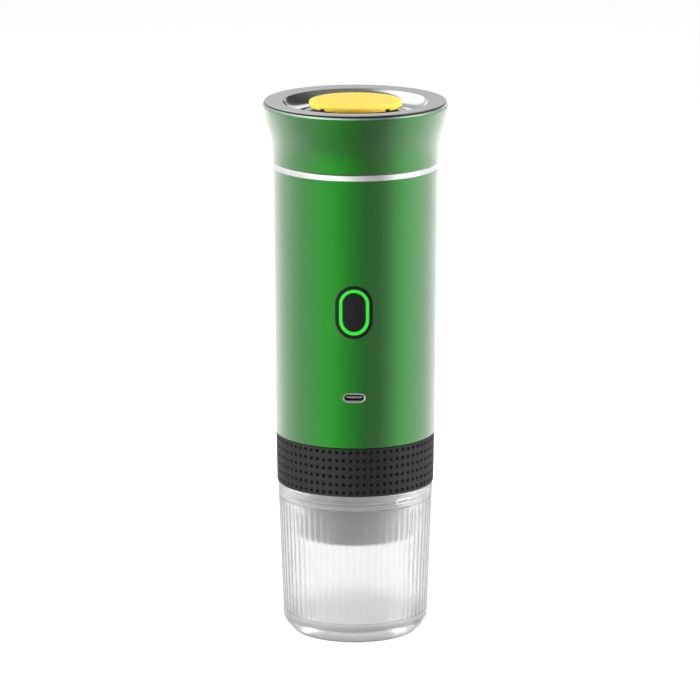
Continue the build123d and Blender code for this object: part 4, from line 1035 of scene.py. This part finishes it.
class ESPRESSO_OT_cup(EspressoOperator, Operator):
    """Build the clear cup with its inner flutes."""
    bl_idname = "espresso.cup"
    bl_label = "Cup"

    def execute(self, context):
        cup = context.scene.espresso_cup
        piece = build("cup_clear", [self.surface(cup)], [finish("clear_plastic"), finish("clear_ridge")])
        settle(piece, "cup", "clear_plastic", "drink_cup")
        # The white bead is a painted highlight along the raised mark's edge
        piece = build("cup_mark_edge", [self.mark_edge(cup)], [finish("mark_edge_highlight")])
        settle(piece, "cup", "clear_plastic")
        return {"FINISHED"}

    def mark_edge(self, cup):
        """Fine bead along the raised mark's edge: a small section carried along the mark's oblong on the
        front of the wall and turned round the axis to the mark's place. Its white finish is a painted
        highlight on the clear mark's edge."""
        crest = cup.mark_stand + 0.04 * MM
        corners = [
            (-0.02 * MM, 0.02 * MM, 0.01 * MM), (0.36 * MM, 0.02 * MM, 0.01 * MM),
            (0.30 * MM, crest, 0.08 * MM), (0.05 * MM, crest, 0.08 * MM),
        ]
        half_height, half_length = cup.mark_height / 2, cup.mark_length / 2
        grid, way, *rest = band(
            corners, half_height, half_length, cup.height - cup.mark_drop, 20, flat=True, face_reach=cup_reach
        )
        turn = cup.mark_turn + math.pi / 2
        around = np.array([
            [math.cos(turn), math.sin(turn), 0], [-math.sin(turn), math.cos(turn), 0], [0, 0, 1],
        ])
        return grid @ around, way @ around, *rest

    def surface(self, cup):
        """Wall turned from the middle of the underside, over the foot ring, up the outside, over the rim and
        down the inside to the middle of the floor. Between the floor and the seat the inside is drawn in by
        depth * s^2, with s from -1 to 1 across each flute, eased out at both ends, so the flutes meet in fine
        ridges. Under the rim the outside is raised inside an oblong, where the distance from its middle line
        is below half its height."""
        slope = (cup.rim_radius - cup.waist_radius) / (cup.height - cup.corner)
        inner_low = cup.waist_radius - cup.wall - slope * (cup.corner - cup.floor_high)
        inner_high = cup.waist_radius - cup.wall + slope * (cup.seat_low - cup.corner)
        corners = [
            (0.0, cup.floor_low, 0),
            (cup.foot_radius - cup.foot_wall, cup.floor_low, 0.8 * MM),
            (cup.foot_radius - cup.foot_wall, 0.0, 0.6 * MM),
            (cup.foot_radius, 0.0, 0.6 * MM),
            (cup.waist_radius - 0.28 * MM, 4.6 * MM, 5.0 * MM),
            (cup.rim_radius, cup.height, 0.6 * MM),
            (cup.seat_radius, cup.height, 0.6 * MM),
            (cup.seat_radius, cup.seat_low, 0.25 * MM),
            (inner_high, cup.seat_low, 0.25 * MM),
            (inner_low, cup.floor_high, 1.2 * MM),
            (0.0, cup.floor_high, 0),
        ]
        points, _ = rounded(corners, closed=False, step=11.0)
        runs = np.concatenate([[0], np.cumsum(np.linalg.norm(np.diff(points, axis=0), axis=1))])
        rim = runs[np.argmax(points[:, 1])]
        mark = rim - cup.mark_drop + cup.mark_height * np.linspace(-0.7, 0.7, 22)
        ends = np.interp([cup.seat_low, cup.floor_high], points[::-1, 1], runs[::-1])
        near = np.array([[0.2, 0.4, 0.65, 0.9, 1.2], [-1.5, -1.2, -0.9, -0.6, -0.3]]) * MM
        rows = [runs, mark, (ends[:, None] + near).ravel(), np.arange(0, runs[-1], 8 * MM)]
        spots = np.unique(np.round(np.concatenate(rows), 7))
        across = np.interp(spots, runs, points[:, 0])
        up = np.interp(spots, runs, points[:, 1])
        inside = spots > rim + 3 * MM
        amount = inside * eased(up, cup.floor_high + 0.1 * MM, cup.floor_high + 1.4 * MM)
        amount = amount * (1 - eased(up, cup.seat_low - 1.2 * MM, cup.seat_low - 0.1 * MM))
        amount = amount[:, None]
        flute_columns = 9
        across_flute = np.tile(np.linspace(-1, 1, flute_columns, endpoint=False), cup.flutes)
        flute = np.repeat(np.arange(cup.flutes), flute_columns)
        angle = (flute + (across_flute + 1) / 2) * 2 * math.pi / cup.flutes
        half = cup.mark_height / 2
        aside = (angle - cup.mark_turn + math.pi) % (2 * math.pi) - math.pi
        aside = np.maximum(np.abs(aside) * cup.rim_radius - cup.mark_length / 2 + half, 0)
        away = np.hypot(aside, (up - cup.height + cup.mark_drop)[:, None])
        raised = cup.mark_stand * (1 - eased(away, half - 0.25 * MM, half)) * (spots < rim)[:, None]
        radius = across[:, None] - cup.flute_depth * amount * across_flute ** 2 + raised
        grid = placed(radius, angle, up)
        # The flute ridges take the dimmer clear_ridge finish: painted shade along the ridges
        ridge = ((across_flute < -0.9) | (across_flute > 0.7)) & (amount > 0.5)
        return grid, pole_slopes(grid), False, True, np.where(ridge, 1, 0)


class ESPRESSO_OT_seals(EspressoOperator, Operator):
    """Build the soft seals with rounded edges."""
    bl_idname = "espresso.seals"
    bl_label = "Seals"

    def execute(self, context):
        flat = {
            "tank_seal": ("main_body", 30.3 * MM),
            "lid_seal": ("lid_seal", 27.9 * MM),
            "chamber_seal": ("chamber_seal", 26.15 * MM),
            "vent_valve": ("vent_button", 4.05 * MM),
        }
        turn = 0.3 * MM
        for node, (body, bore) in flat.items():
            low, high, outer = level(node, 0), level(node, 1), reach(node)
            corners = [(bore, low, turn), (outer, low, turn), (outer, high, turn), (bore, high, turn)]
            piece = ring_piece(f"{node}_soft", rounded(corners), 128, [finish("white_silicone")])
            settle(piece, body, "white_silicone", node)
        self.cup_seal("cup_seal_ring", 0.08 * MM)
        return {"FINISHED"}

    def cup_seal(self, node, spare):
        """Ring with a bevelled outer edge, taller than its node by a spare bit at both ends."""
        low, high, outer = level(node, 0) - spare, level(node, 1) + spare, reach(node)
        bore = outer - (level(node, 1) - level(node, 0))
        bevel, rise = outer - 0.4 * MM, 0.7 * MM
        corners = [
            (bore, low, 0.2 * MM), (bevel, low, 0.3 * MM), (outer, low + rise, 0.5 * MM),
            (outer, high - rise, 0.5 * MM), (bevel, high, 0.3 * MM), (bore, high, 0.2 * MM),
        ]
        piece = ring_piece("cup_seal_soft", rounded(corners), 192, [finish("grey_silicone")])
        settle(piece, "brew_chamber", "grey_silicone", node)


# Stage

class ESPRESSO_OT_stage(EspressoOperator, Operator):
    """Set the floor, the studio light and the camera."""
    bl_idname = "espresso.stage"
    bl_label = "Stage"

    def execute(self, context):
        stage = context.scene.espresso_stage
        self.floor(context, stage)
        self.world(context)
        self.lamps(context)
        self.camera(context, stage)
        context.scene.view_settings.view_transform = "Standard"
        return {"FINISHED"}

    def floor(self, context, stage):
        """Pale floor with the object's shadow. To the camera it is mostly clear, so that a piece pulled off
        downwards still shows. It is mostly white through glass, and clear to reflections, so that the metal
        shows the studio round it."""
        half = stage.floor
        corners = [(-half, -half, 0), (half, -half, 0), (half, half, 0), (-half, half, 0)]
        mesh = bpy.data.meshes.new("floor")
        mesh.from_pydata(corners, [], [(0, 1, 2, 3)])
        floor = bpy.data.objects.new("floor", mesh)
        floor.location.z = -0.02 * MM
        context.scene.collection.objects.link(floor)
        material = bpy.data.materials.new("floor_pale")
        tree = Tree(material)
        path = tree.node("LightPath").outputs
        pale = tree.node("BsdfDiffuse", Color=(0.9, 0.9, 0.9, 1)).outputs[0]
        white = tree.node("Emission", Strength=1.15).outputs[0]
        clear = tree.node("BsdfTransparent").outputs[0]
        through = tree.mixed(path["Is Camera Ray"], white, clear)
        direct = tree.math("MAXIMUM", path["Is Camera Ray"], path["Is Transmission Ray"])
        shown = tree.mixed(tree.math("MULTIPLY", direct, 0.7), pale, through)
        mirrored = tree.mixed(path["Is Glossy Ray"], shown, clear)
        tree.node("OutputMaterial", Surface=mirrored)
        mesh.materials.append(material)

    def world(self, context):
        """White behind the object. Round it, soft panels by direction: a ramp over the compass at eye level,
        another above it, grey overhead, and all dimmer below."""
        peak = 2.5  # Light at the top of the ramps
        world = bpy.data.worlds.new("studio")
        context.scene.world = world
        tree = Tree(world)
        apart = tree.node("SeparateXYZ", Vector=tree.node("TexCoord").outputs["Generated"]).outputs
        compass = tree.math("ARCTAN2", apart["X"], tree.math("MULTIPLY", apart["Y"], -1.0))
        turn = tree.math("MULTIPLY_ADD", compass, 0.5 / math.pi, 0.5)

        def panels(*stops):
            """Light along the compass, by stops (degrees from the front, light)."""
            greys = [(degrees / 360 + 0.5, *[light / peak] * 3) for degrees, light in stops]
            return tree.ramp(turn, greys, "EASE")

        def blend(share, low, high):
            """Colour that changes from low to high over a share."""
            node = tree.node("Mix")
            node.data_type = "RGBA"
            tree.put(node.inputs["Factor"], share)
            colours = [socket for socket in node.inputs if socket.type == "RGBA"]
            for socket, value in zip(colours, (low, high)):
                tree.put(socket, value)
            return [socket for socket in node.outputs if socket.type == "RGBA"][0]

        def rising(low, high):
            """Share from 0 to 1 between two heights of the direction."""
            node = tree.node("MapRange", Value=apart["Z"], From_Min=low, From_Max=high)
            node.interpolation_type = "SMOOTHSTEP"
            return node.outputs[0]

        ahead = panels(
            (-180, 0.8), (-150, 0.55), (-125, 0.45), (-108, 0.5), (-88, 0.58), (-68, 0.85), (-52, 1.2),
            (-36, 1.3), (-22, 1.1), (-8, 0.82), (6, 0.5), (20, 0.28), (36, 0.2), (48, 0.42), (60, 0.85),
            (74, 1.05), (90, 0.95), (108, 0.55), (125, 0.45), (150, 0.55), (180, 0.8),
        )
        above = panels(
            (-180, 0.6), (-170, 0.45), (-158, 0.5), (-148, 1.1), (-130, 1.4), (-90, 1.4), (-65, 1.15),
            (-54, 0.9), (-43, 0.65), (-32, 0.42), (-22, 0.27), (0, 0.19), (62, 0.18), (86, 0.16),
            (100, 0.1), (140, 0.06), (154, 0.1), (163, 0.9), (172, 1.2), (180, 0.6),
        )
        upper = blend(rising(0.08, 0.20), ahead, above)
        whole = blend(rising(0.68, 0.82), upper, (0.08, 0.08, 0.08, 1))
        dimmed = tree.math("MULTIPLY_ADD", rising(-0.62, -0.36), 0.62 * peak, 0.38 * peak)
        studio = tree.node("Background", Color=whole, Strength=dimmed).outputs[0]
        path = tree.node("LightPath").outputs
        direct = tree.math("MAXIMUM", path["Is Camera Ray"], path["Is Transmission Ray"])
        bright = tree.math("MULTIPLY_ADD", path["Is Camera Ray"], 0.15, 1.0)
        white = tree.node("Background", Color=(1, 1, 1, 1), Strength=bright).outputs[0]
        tree.node("OutputWorld", Surface=tree.mixed(direct, studio, white))

    def lamps(self, context):
        """A wide soft lamp above the camera and one at each side, which reflections don't show."""
        for name, place, strength in (
            ("overhead", (-0.3, -0.8, 1.4), 3.0),
            ("left", (-1.15, 0.15, 0.45), 32.0),
            ("right", (1.15, 0.1, 0.45), 46.0),
        ):
            lamp = bpy.data.lights.new(name, "AREA")
            lamp.shape = "DISK"
            lamp.size = 0.9
            lamp.energy = strength
            holder = bpy.data.objects.new(name, lamp)
            holder.location = place
            aim = Vector((0, 0, 0.12)) - holder.location
            holder.rotation_euler = aim.to_track_quat("-Z", "Y").to_euler()
            holder.visible_glossy = False
            context.scene.collection.objects.link(holder)

    def camera(self, context, stage):
        """Camera at the photograph's place and tilt."""
        data = bpy.data.cameras.new("camera")
        data.lens = stage.lens
        data.sensor_width = 36.0
        data.clip_end = 20.0
        camera = bpy.data.objects.new("camera", data)
        camera.location = stage.camera
        camera.rotation_euler = (math.pi / 2 - stage.pitch, 0, stage.turn)
        context.scene.collection.objects.link(camera)
        context.scene.camera = camera


class ESPRESSO_PT_pieces(Panel):
    """Lists the pieces and the sizes of the espresso maker."""
    bl_idname = "ESPRESSO_PT_pieces"
    bl_label = "Espresso Maker"
    bl_space_type = "VIEW_3D"
    bl_region_type = "UI"
    bl_category = "Espresso"

    def draw(self, context):
        for operator in OPERATORS:
            self.layout.operator(operator.bl_idname)
        for name in GROUPS:
            box = self.layout.box()
            settings = getattr(context.scene, name)
            for key in type(settings).__annotations__:
                box.prop(settings, key)


GROUPS = {
    "espresso_lid": LidSizes,
    "espresso_vent": VentSizes,
    "espresso_tube": TubeSizes,
    "espresso_button": ButtonSizes,
    "espresso_grip": GripSizes,
    "espresso_cup": CupSizes,
    "espresso_finishes": Finishes,
    "espresso_stage": StageSettings,
}
OPERATORS = [
    ESPRESSO_OT_finishes,
    ESPRESSO_OT_lid,
    ESPRESSO_OT_vent_cap,
    ESPRESSO_OT_vent_spring,
    ESPRESSO_OT_trim_ring,
    ESPRESSO_OT_power_button,
    ESPRESSO_OT_port_edge,
    ESPRESSO_OT_grip,
    ESPRESSO_OT_cup,
    ESPRESSO_OT_seals,
    ESPRESSO_OT_stage,
]


def register():
    for name, group in GROUPS.items():
        bpy.utils.register_class(group)
        setattr(bpy.types.Scene, name, PointerProperty(type=group))
    for operator in OPERATORS:
        bpy.utils.register_class(operator)
    bpy.utils.register_class(ESPRESSO_PT_pieces)


def unregister():
    bpy.utils.unregister_class(ESPRESSO_PT_pieces)
    for operator in reversed(OPERATORS):
        bpy.utils.unregister_class(operator)
    for name, group in reversed(GROUPS.items()):
        delattr(bpy.types.Scene, name)
        bpy.utils.unregister_class(group)


def main():
    """Builds every piece in order."""
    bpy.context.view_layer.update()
    register()
    for operator in OPERATORS:
        group, name = operator.bl_idname.split(".")
        getattr(getattr(bpy.ops, group), name)()


if __name__ == "__main__":
    main()
